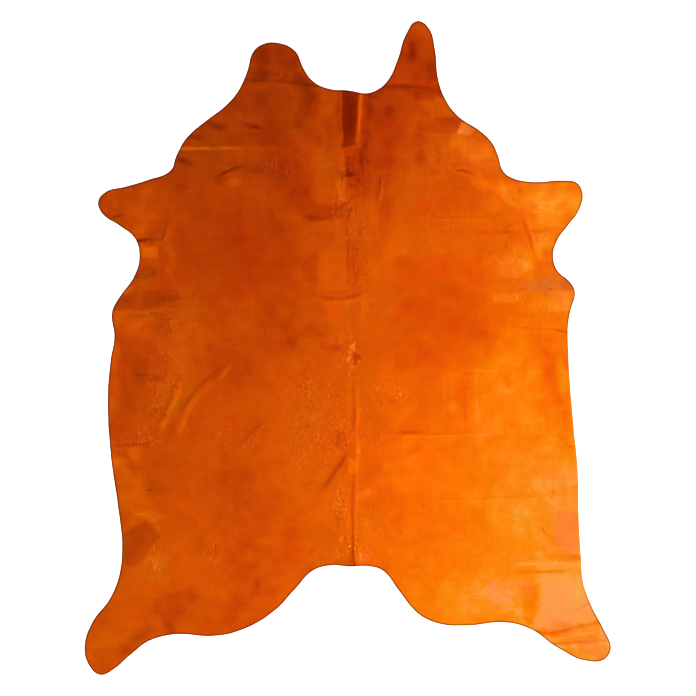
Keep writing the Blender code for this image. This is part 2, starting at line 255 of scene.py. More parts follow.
def inside_of(points, corners):
    """How far inside the outline through these corners each point lies; below 0 outside it."""
    corners = np.array(corners)
    inside = np.zeros(len(points), bool)
    gap = np.full(len(points), np.inf)
    for start, end in zip(corners, np.roll(corners, -1, axis=0)):
        run = end - start
        offset = points - start
        share = np.clip(offset @ run / (run @ run), 0, 1)
        gap = np.minimum(gap, np.linalg.norm(offset - share[:, None] * run, axis=1))
        spanned = (start[1] > points[:, 1]) != (end[1] > points[:, 1])
        across = run[0] * offset[:, 1] - run[1] * offset[:, 0]
        inside ^= spanned & ((across > 0) == (run[1] > 0))
    return np.where(inside, gap, -gap)


def lift_of(points):
    """How high the skin's underside lies above the floor at each point."""
    ridges, furrows, slack = np.zeros((3, len(points)))
    strayed = points + wander(points, LINE_WANDER)
    uneven = 1 + UNEVENNESS * noise_at(points, UNEVEN_LENGTH)[:, 2]
    for _, height, left, right, start, end, straight, crest in FOLDS:
        line = curve_through(crest, CREST_STEP)
        at = points if straight > PRESSED else strayed
        near = near_to(at, line, max(left, right) + FOLD_END)
        gap, on_left, share, past = beside(at[near], line)
        across = gap / np.where(on_left, left, right)
        profile = straight * np.clip(1 - across, 0, 1) + (1 - straight) * fade(across)
        strength = abs(height) * taper(share, start, end) * fade(past / FOLD_END)
        form = strength * profile * uneven[near] ** (1 - straight)
        if height > 0:
            ridges[near] += form**MEETING
        else:
            furrows[near] += form
    for _, height, *place in SWELLS:
        slack += height * mound(points, *place)
    for length, height in RIPPLES:
        slack += height * noise_at(points, length)[:, 2]
    height = slack + ridges ** (1 / MEETING) - furrows
    return (height + np.sqrt(height**2 + REST_SOFTNESS**2)) / 2


# The dye. It went on by hand and the skin took it up unevenly: blotches all over, dark lines where the finish
# cracked, pale worn places at the legs, a scar on the spine. Part of the tone is painted light: it darkens towards
# the neck and the left mostly as light falling off away from the softbox, and dark and pale lines along the folds
# paint their shade and highlights.
TONE_MIDDLE = 0.569
# Darker at the neck and on the left, lighter towards the tail and the right: mostly painted light falling off away
# from the softbox at the lower right, the rest uneven dye.
TONE_AND_LIGHT_SLOPE = (0.322, -0.200)
PATCHES = in_metres((0, 1, 2, 3), (
    # x, y, half length, half width, turn, crispness, tone, warmth, fading
    # left: cheeks and neck
    (-270, 1010, 130, 110, 0, 1, -0.14, -0.1, 0),
    (-180, 1010, 50, 26, 90, 1, -0.12, 0, 0),
    (-310, 950, 100, 34, 0, 1, -0.14, 0.2, 0),
    (-175, 932, 110, 60, -45, 1, -0.19, 0.2, 0),
    (-290, 850, 180, 90, 0, 1, -0.11, 0, 0),
    (-155, 830, 100, 40, 88, 1, -0.15, 0.1, 0),
    (-460, 785, 70, 22, -5, 1, -0.2, 0, 0),
    (-505, 768, 35, 18, 35, 1, -0.12, 0, 0),
    (-150, 765, 80, 40, -30, 1, -0.06, 0, 0),
    (-180, 760, 80, 28, 105, 1, 0, 0.6, 0),
    (-160, 760, 120, 80, 0, 1, -0.04, 0, 0),
    (-240, 755, 80, 60, -60, 1, -0.05, 0, 0),
    (-290, 745, 40, 50, 0, 1, -0.02, 0, 0),
    (-340, 740, 140, 50, 0, 1, -0.07, -0.2, 0),
    (-500, 700, 180, 110, 20, 1, 0, 0.9, 0),
    # left: shoulders and forelegs
    (-370, 688, 140, 30, 0, 1, 0, 0.6, 0),
    (-330, 630, 120, 50, -10, 1, -0.11, 0.4, 0),
    (-285, 625, 40, 34, 0, 1, -0.08, 0, 0),
    (-220, 610, 150, 120, -50, 1, -0.12, -0.6, 0),
    (-445, 598, 36, 28, 30, 2, -0.09, 0, 0),
    (-398, 582, 40, 16, 20, 2, 0.09, 0.4, 0),
    (-700, 570, 60, 30, 15, 1, 0.08, 0, 0),
    (-140, 570, 34, 26, 0, 1, -0.07, 0, 0),
    (-580, 560, 30, 25, 60, 2, -0.07, 0, 0),
    (-190, 535, 60, 45, 0, 1, -0.07, 0, 0),
    (-780, 500, 300, 180, 10, 1, 0.17, 0.1, 0),
    (-860, 490, 30, 30, 0, 1, 0.09, 0, 0),
    (-580, 460, 60, 50, 0, 1, 0.05, 0, 0),
    (-710, 440, 60, 30, 0, 1, 0.12, 0, 0),
    (-255, 430, 90, 40, 85, 1, -0.1, 0, 0),
    (-790, 420, 80, 30, -30, 1, 0.12, 0.2, 0),
    (-715, 412, 40, 22, 0, 1, 0.11, 0.1, 0),
    (-360, 400, 190, 170, 0, 1, -0.08, -0.4, 0),
    # left: upper ribs and elbows
    (-655, 362, 40, 30, 40, 2, 0.1, 0, 0),
    (-620, 360, 150, 50, 88, 1, 0.1, 0.2, 0),
    (-210, 330, 180, 80, 90, 1, -0.09, -0.3, 0),
    (-715, 310, 150, 60, 90, 1, 0.2, 0.3, 0),
    (-400, 310, 240, 150, 0, 1, -0.035, -0.3, 0),
    (-145, 290, 85, 36, 90, 1, -0.08, -0.4, 0),
    (-710, 285, 26, 26, 90, 1, -0.16, -0.2, 0),
    (-635, 280, 50, 24, -50, 1, 0.13, 0, 0),
    (-320, 260, 45, 34, 0, 1, 0.09, 0, 0),
    (-330, 250, 140, 110, 20, 1, -0.1, -0.5, 0),
    (-125, 235, 80, 34, 90, 1, -0.06, -0.2, 0),
    (-126, 228, 30, 24, 0, 1, -0.09, -0.3, 0),
    (-755, 225, 30, 18, 55, 1, 0.05, 0, 0),
    (-690, 225, 65, 26, 0, 1, 0, 0.7, 0),
    (-775, 205, 50, 30, 55, 1, 0.2, 0.3, 0),
    (-760, 175, 30, 22, 55, 3, -0.04, 0, 0),
    (-600, 145, 30, 30, 0, 1, -0.08, 0.4, 0),
    (-670, 125, 90, 30, 0, 1, -0.08, 0.8, 0),
    (-550, 125, 80, 45, 0, 1, 0, 0.5, 0),
    (-290, 120, 120, 50, 60, 1, -0.07, 0, 0),
    # left: lower ribs and flanks
    (-780, 90, 130, 80, 0, 1, 0.18, 0.3, 0),
    (-125, 90, 45, 30, 0, 1, -0.08, 0, 0),
    (-760, 80, 65, 34, 0, 1, 0, -0.5, 0),
    (-650, 80, 70, 40, 0, 1, -0.07, 0, 0),
    (-220, 80, 200, 120, 80, 1, -0.11, -0.2, 0),
    (-655, 60, 45, 40, 0, 1, 0, 0.5, 0),
    (-620, 50, 350, 200, 90, 1, 0.1, 0, 0),
    (-570, 20, 280, 80, 85, 1, 0.02, 0.5, 0),
    (-380, 20, 120, 45, 0, 1, -0.07, 0, 0),
    (-200, 20, 50, 35, 0, 1, -0.08, 0, 0),
    (-490, 12, 45, 34, 60, 1, -0.07, 0, 0),
    (-810, -30, 110, 45, 93, 1, 0.16, 0, 0),
    (-730, -70, 70, 35, 80, 2, -0.08, 0, 0),
    (-400, -80, 150, 110, 0, 1, -0.1, 0, 0),
    (-810, -100, 80, 26, 90, 1, 0.05, 0, 0),
    (-670, -100, 60, 22, 0, 1, -0.12, 0, 0),
    (-310, -140, 70, 40, 0, 1, -0.06, 0, 0),
    (-620, -180, 200, 120, 60, 1, 0.04, 0.4, 0),
    (-575, -190, 110, 36, 55, 1, 0, 0.6, 0),
    # left: loins and belly
    (-840, -240, 380, 60, 90, 1, 0.12, 0.2, 0),
    (-825, -260, 70, 26, 90, 1, -0.1, 0, 0),
    (-140, -260, 190, 110, 80, 1, 0, 0.4, 0),
    (-410, -265, 70, 34, -10, 1, 0, -0.5, 0),
    (-330, -270, 130, 60, 50, 1, -0.06, 0, 0),
    (-730, -290, 70, 50, 0, 1, 0.07, 0.3, 0),
    (-690, -320, 50, 40, 0, 1, 0.08, 0, 0),
    (-430, -350, 150, 50, 85, 1, 0, -0.5, 0),
    (-335, -360, 45, 24, 60, 1, -0.07, 0, 0),
    (-740, -380, 32, 25, 0, 3, 0.07, 0, 0),
    (-775, -390, 55, 24, 110, 1, -0.08, 0, 0),
    (-828, -410, 60, 26, 95, 1, 0.15, 0.2, 0),
    (-765, -430, 45, 26, 120, 1, -0.09, 0, 0),
    (-740, -430, 60, 30, 0, 1, -0.09, 0, 0),
    (-450, -460, 70, 34, 110, 1, 0, -0.4, 0),
    (-760, -480, 200, 100, 100, 1, 0.14, 0.6, 0),
    (-680, -480, 60, 40, 0, 2, -0.06, 0.2, 0),
    # left: rump and stifles
    (-580, -510, 45, 34, 90, 1, -0.06, 0, 0),
    (-230, -510, 100, 45, -30, 1, -0.06, 0, 0),
    (-405, -545, 30, 36, 0, 1, 0.08, 0, 0),
    (-370, -560, 300, 200, 90, 1, -0.12, -0.3, 0),
    (-160, -570, 45, 30, 0, 1, -0.07, 0, 0),
    (-250, -580, 90, 70, 60, 1, -0.03, 0, 0),
    (-690, -590, 70, 24, 0, 1, 0.13, 0.6, 0),
    (-300, -655, 45, 34, -40, 1, -0.07, 0, 0),
    (-785, -690, 100, 26, 90, 1, 0.04, 0.8, 0),
    (-190, -690, 180, 90, 90, 1, -0.09, -0.3, 0),
    (-510, -700, 70, 70, 0, 1, -0.07, 0, 0),
    (-220, -720, 170, 110, 90, 1, 0, -0.15, 0),
    (-125, -720, 34, 26, 0, 1, -0.08, 0, 0),
    (-720, -730, 70, 40, 40, 1, 0.05, 0, 0),
    (-665, -735, 60, 45, 60, 1, 0.05, 0, 0),
    (-350, -735, 50, 40, 0, 1, 0.09, 0, 0),
    (-140, -778, 60, 30, 40, 1, -0.16, 0, 0),
    (-680, -780, 160, 100, 60, 1, 0.05, 0.8, 0),
    # left: thighs and hind feet
    (-330, -800, 220, 180, 90, 1, -0.13, -0.3, 0),
    (-330, -825, 44, 26, 90, 1, -0.11, 0, 0),
    (-470, -830, 60, 45, 0, 1, 0, -0.4, 0),
    (-260, -850, 90, 45, 40, 1, -0.07, 0, 0),
    (-790, -860, 110, 50, 50, 1, 0.03, 0.8, 0),
    (-570, -860, 100, 60, 18, 1, -0.07, -0.2, 0),
    (-215, -872, 40, 24, 40, 1, -0.1, 0, 0),
    (-475, -925, 60, 30, 0, 1, 0.1, 0, 0),
    (-450, -960, 350, 130, 0, 1, -0.15, -0.2, 0),
    (-622, -980, 40, 30, 90, 1, -0.12, 0, 0),
    (-632, -985, 26, 24, 0, 1, 0.1, 0, 0),
    (-740, -1015, 110, 45, 38, 1, -0.18, 0.4, 0),
    (-860, -1030, 200, 130, 50, 1, 0.02, 0.3, 0),
    (-765, -1065, 60, 24, 40, 1, -0.12, 0, 0),
    (-850, -1090, 110, 60, 30, 1, -0.08, 0.2, 0),
    # middle: cheeks and neck
    (14, 888, 26, 20, 0, 1, 0.03, -0.3, 0.06),
    (85, 880, 34, 18, 0, 1, -0.13, 0, 0),
    (-66, 862, 44, 18, 90, 3, 0, 0.5, 0),
    (-120, 850, 60, 30, 90, 2, -0.12, -0.3, 0),
    (68, 845, 70, 24, 90, 2, -0.12, -0.3, 0),
    (-77, 800, 40, 20, 90, 2, 0, 0.1, 0),
    (66, 768, 55, 22, 90, 2, -0.1, -0.2, 0),
    (-70, 740, 110, 40, 90, 1, -0.17, 0.1, 0),
    (110, 720, 60, 30, 90, 1, 0.09, 0.2, 0),
    (-112, 715, 50, 26, 90, 1, -0.12, 0, 0),
    # middle: shoulders and forelegs
    (51, 680, 60, 12, 80, 2, -0.1, -0.2, 0),
    (-78, 620, 95, 56, 88, 3, 0.04, 0.4, 0),
    (40, 600, 120, 60, 80, 1, -0.11, -0.6, 0),
    (100, 580, 50, 24, 80, 1, -0.1, 0, 0),
    (-23, 553, 52, 12, 90, 4, 0.1, 0.3, 0),
    (40, 480, 34, 26, 90, 1, 0, -0.5, 0),
    (-28, 430, 34, 22, 0, 1, 0.08, 0, 0),
    (85, 430, 60, 30, 90, 1, 0.06, 0, 0),
    # middle: upper ribs and elbows
    (-114, 322, 34, 24, 0, 1, -0.09, 0, 0),
    (0, 280, 70, 90, 0, 1, 0, -0.6, 0),
    (85, 280, 150, 34, 90, 1, 0.07, 0.2, 0),
    (-80, 265, 72, 30, 90, 2, 0.04, 0.1, 0),
    (-75, 150, 80, 55, 0, 1, 0, -0.5, 0),
    (60, 130, 90, 24, 88, 1, 0.08, 0, 0),
    # middle: lower ribs and flanks
    (-110, 50, 80, 55, 0, 1, -0.11, -0.3, 0),
    (-12, 48, 18, 16, 0, 2, 0.06, 0, 0),
    (-40, 2, 34, 20, 0, 1, -0.06, -0.2, 0),
    (100, -20, 90, 40, 20, 1, -0.04, -0.2, 0),
    # middle: loins and belly
    (25, -300, 150, 90, 90, 1, 0.02, -0.4, 0),
    (-32, -318, 55, 26, 90, 1, -0.05, 0, 0),
    (70, -375, 40, 34, 90, 1, 0, -0.5, 0),
    (87, -430, 50, 45, 80, 2, -0.06, -0.1, 0),
    (-40, -440, 90, 14, 60, 2, -0.06, 0, 0),
    (-110, -450, 80, 50, 50, 1, -0.02, 0.5, 0),
    # middle: rump and stifles
    (100, -540, 40, 40, 0, 1, -0.03, 0, 0),
    (-30, -590, 60, 26, 90, 1, -0.1, 0, 0),
    (78, -698, 26, 20, 0, 1, 0.09, 0, 0),
    (-70, -700, 150, 110, 90, 1, -0.07, 0.2, 0),
    (5, -725, 50, 18, 90, 2, -0.13, 0, 0),
    (-10, -750, 60, 20, 0, 2, -0.08, 0, 0),
    # right: cheeks and neck
    (245, 1118, 30, 26, 0, 2, 0.05, 0, 0),
    (225, 1040, 45, 32, 70, 1, -0.18, -0.4, 0),
    (300, 1040, 40, 18, 90, 1, -0.07, 0, 0),
    (182, 1030, 40, 18, 75, 1, -0.07, 0, 0),
    (240, 1010, 150, 110, 90, 1, -0.19, -0.5, 0),
    (298, 975, 70, 24, 92, 2, -0.13, 0, 0),
    (270, 928, 90, 40, 0, 1, -0.12, -0.7, 0),
    (270, 893, 85, 26, 0, 2, -0.1, -0.4, 0),
    (325, 893, 40, 26, 100, 1, -0.1, -0.3, 0),
    (280, 855, 60, 18, -8, 2, 0.02, 0, 0),
    (235, 850, 60, 40, 20, 1, -0.08, -0.3, 0),
    (140, 825, 55, 35, 90, 1, -0.13, 0, 0),
    (150, 800, 90, 40, 90, 2, 0.06, 0, 0),
    (350, 800, 60, 26, -10, 1, -0.07, 0, 0),
    (130, 760, 300, 120, 85, 1, -0.22, -0.8, 0),
    (462, 752, 34, 22, -40, 2, -0.04, 0, 0),
    (380, 725, 60, 40, 30, 1, 0.12, 0.2, 0),
    (250, 720, 110, 50, 90, 1, -0.09, -0.4, 0),
    (475, 720, 45, 30, -40, 1, 0.08, 0, 0),
    (360, 700, 45, 35, 0, 1, 0, 0.5, 0),
    # right: shoulders and forelegs
    (450, 690, 150, 90, -30, 1, 0.12, 0.3, 0.05),
    (480, 690, 40, 30, 0, 1, 0.07, 0, 0),
    (145, 665, 60, 45, 90, 1, 0, -0.4, 0),
    (250, 665, 60, 40, -30, 1, -0.08, 0, 0),
    (245, 655, 50, 34, -30, 1, -0.07, -0.6, 0),
    (300, 615, 60, 26, 0, 1, -0.08, -0.5, 0),
    (480, 585, 90, 36, -5, 1, 0.14, 0, 0),
    (700, 578, 100, 20, 0, 1, 0.08, 0, 0),
    (605, 566, 18, 12, 0, 3, -0.12, 0, 0),
    (680, 550, 60, 40, 0, 1, 0.08, 0, 0),
    (540, 545, 60, 24, -62, 2, 0.08, 0, 0.03),
    (520, 510, 70, 60, 0, 1, 0.11, 0, 0),
    (720, 510, 200, 130, 0, 1, 0.14, 0, 0.03),
    (280, 505, 110, 50, -10, 1, 0, -0.7, 0),
    (745, 505, 45, 22, 20, 1, -0.09, -0.3, 0),
    (655, 500, 40, 30, 0, 1, -0.07, -0.4, 0),
    (130, 470, 90, 40, 80, 1, -0.08, -0.5, 0),
    (775, 470, 45, 30, 60, 1, -0.11, 0, 0),
    (575, 468, 45, 22, 20, 1, 0.08, 0, 0),
    (360, 460, 60, 30, 20, 1, 0, -0.5, 0),
    (660, 440, 160, 90, 90, 1, 0.03, -0.1, 0),
    (600, 430, 50, 60, 0, 1, 0.05, 0, 0),
    (500, 410, 90, 26, 0, 1, 0, -0.4, 0),
    # right: upper ribs and elbows
    (695, 370, 60, 50, 90, 1, 0.06, 0.2, 0.05),
    (175, 355, 100, 60, 60, 1, 0.09, 0, 0),
    (610, 350, 50, 40, 0, 1, 0.08, 0, 0.04),
    (330, 330, 330, 230, 0, 1, 0.035, 0, 0),
    (712, 312, 45, 20, 100, 2, -0.07, 0.1, 0.02),
    (560, 310, 120, 60, 0, 1, 0.1, 0, 0.03),
    (640, 300, 90, 50, 60, 1, 0.1, 0, 0),
    (310, 290, 120, 50, 0, 1, 0, -0.6, 0),
    (775, 226, 40, 24, -14, 2, -0.09, 0.5, 0.05),
    (665, 215, 120, 60, 0, 1, 0, 0.8, 0),
    (775, 190, 30, 30, 0, 1, 0.05, 0, 0),
    (680, 155, 140, 40, 0, 1, 0.07, -0.1, 0),
    (350, 140, 180, 200, 0, 1, -0.06, -0.3, 0),
    (190, 130, 80, 50, 60, 1, -0.05, -0.6, 0),
    (620, 130, 60, 40, 0, 1, 0.07, 0, 0),
    # right: lower ribs and flanks
    (520, 90, 70, 50, 90, 1, -0.06, -0.3, 0),
    (570, 75, 30, 24, 0, 1, -0.08, 0, 0),
    (140, 50, 70, 45, 90, 1, 0, -0.6, 0),
    (470, 38, 70, 100, 10, 1, -0.13, -0.2, 0),
    (722, 20, 45, 34, 90, 1, 0, -0.5, 0),
    (150, 0, 50, 50, 0, 1, -0.04, 0, 0),
    (670, 0, 70, 60, 60, 1, -0.09, -0.3, 0),
    (700, -15, 40, 40, 0, 1, -0.02, -0.2, 0),
    (260, -20, 110, 60, 20, 1, -0.07, -0.5, 0),
    (220, -80, 220, 120, 0, 1, 0, -0.35, 0),
    (570, -80, 320, 180, 95, 1, 0.11, -0.2, 0),
    (700, -80, 70, 60, 90, 1, -0.07, 0, 0),
    (550, -90, 30, 50, 0, 1, -0.08, 0, 0),
    (365, -100, 90, 50, 70, 1, 0.08, -0.2, 0),
    (757, -100, 90, 22, 97, 2, 0.09, 0.5, 0),
    (150, -130, 120, 90, 0, 1, 0.06, 0, 0),
    (560, -130, 35, 26, 0, 1, -0.08, 0, 0),
    (700, -150, 150, 50, 95, 1, 0, -0.8, 0),
    (370, -200, 36, 36, 0, 1, 0.08, 0, 0),
    (650, -210, 50, 50, 0, 1, -0.08, 0, 0),
    # right: loins and belly
    (190, -240, 100, 55, 10, 1, 0.08, 0, 0),
    (440, -270, 170, 110, -25, 1, 0.09, -0.5, 0),
    (770, -280, 60, 30, 95, 1, -0.07, 0.2, 0),
    (755, -322, 40, 18, -30, 2, -0.08, 0, 0),
    (340, -350, 40, 40, 0, 1, -0.07, 0, 0),
    (680, -350, 60, 30, 0, 1, 0.08, 0, 0),
    (235, -365, 40, 30, 0, 1, -0.07, 0, 0),
    (550, -370, 140, 70, 10, 1, 0.08, -0.3, 0),
    (260, -410, 260, 180, 0, 1, 0.11, -0.4, 0),
    (140, -420, 45, 35, 0, 1, 0.07, 0, 0),
    (620, -425, 35, 22, 90, 2, -0.03, 0, 0),
    (640, -470, 230, 220, 90, 1, 0.07, 0, 0.05),
    (785, -480, 140, 40, 92, 1, 0.03, 0.1, 0),
    (260, -500, 440, 220, 90, 1, 0, -0.35, 0),
    # right: rump and stifles
    (715, -520, 30, 24, 0, 1, -0.07, 0, 0),
    (430, -530, 150, 60, 0, 1, 0.08, 0, 0),
    (560, -600, 120, 80, 0, 1, 0.05, 0, 0),
    (420, -610, 45, 34, 0, 1, 0, -0.4, 0),
    (360, -630, 120, 60, 0, 1, 0, -0.4, 0),
    (230, -640, 70, 60, 0, 1, 0.08, 0, 0),
    (762, -640, 88, 52, 88, 3, -0.04, 0, 0.16),
    (150, -710, 34, 30, 0, 1, 0, -0.5, 0),
    (755, -715, 34, 26, 0, 1, -0.07, 0, 0),
    (185, -730, 70, 45, 70, 1, 0, -0.6, 0),
    (610, -730, 50, 30, 0, 1, 0.04, 0, 0),
    (790, -735, 50, 24, 0, 2, -0.08, 0, 0.05),
    (130, -740, 35, 18, 110, 2, -0.05, 0, 0),
    (120, -755, 50, 24, -30, 1, -0.06, 0, 0),
    # right: thighs and hind feet
    (250, -840, 60, 40, 60, 1, 0.08, 0, 0),
    (800, -840, 80, 24, -72, 1, -0.03, 0.8, 0.06),
    (440, -860, 200, 110, 0, 2, 0.05, 0, 0),
    (790, -860, 70, 50, -60, 1, 0, 0.5, 0),
    (740, -880, 120, 72, -72, 2, 0.02, 0.1, 0.06),
    (640, -890, 66, 30, 82, 2, -0.02, 0, 0),
    (500, -950, 120, 26, 0, 1, -0.04, 0, 0),
    (870, -950, 55, 28, -60, 1, -0.1, 0, 0),
    (525, -953, 40, 16, 0, 1, -0.09, 0, 0),
    (830, -955, 34, 22, 0, 1, -0.08, 0, 0),
    (638, -972, 36, 16, -20, 1, -0.09, 0, 0),
    (710, -1010, 80, 30, -25, 1, -0.1, -0.2, 0),
    (780, -1010, 120, 60, -25, 1, -0.06, 0, 0),
    (840, -1010, 150, 80, -25, 1, -0.17, -0.2, 0.3),
    (840, -1032, 32, 22, 0, 1, 0.07, 0.2, 0),
    (755, -1052, 45, 22, -10, 1, -0.11, 0, 0),
    (860, -1080, 140, 50, -8, 1, -0.2, 0.7, 0.2),
))
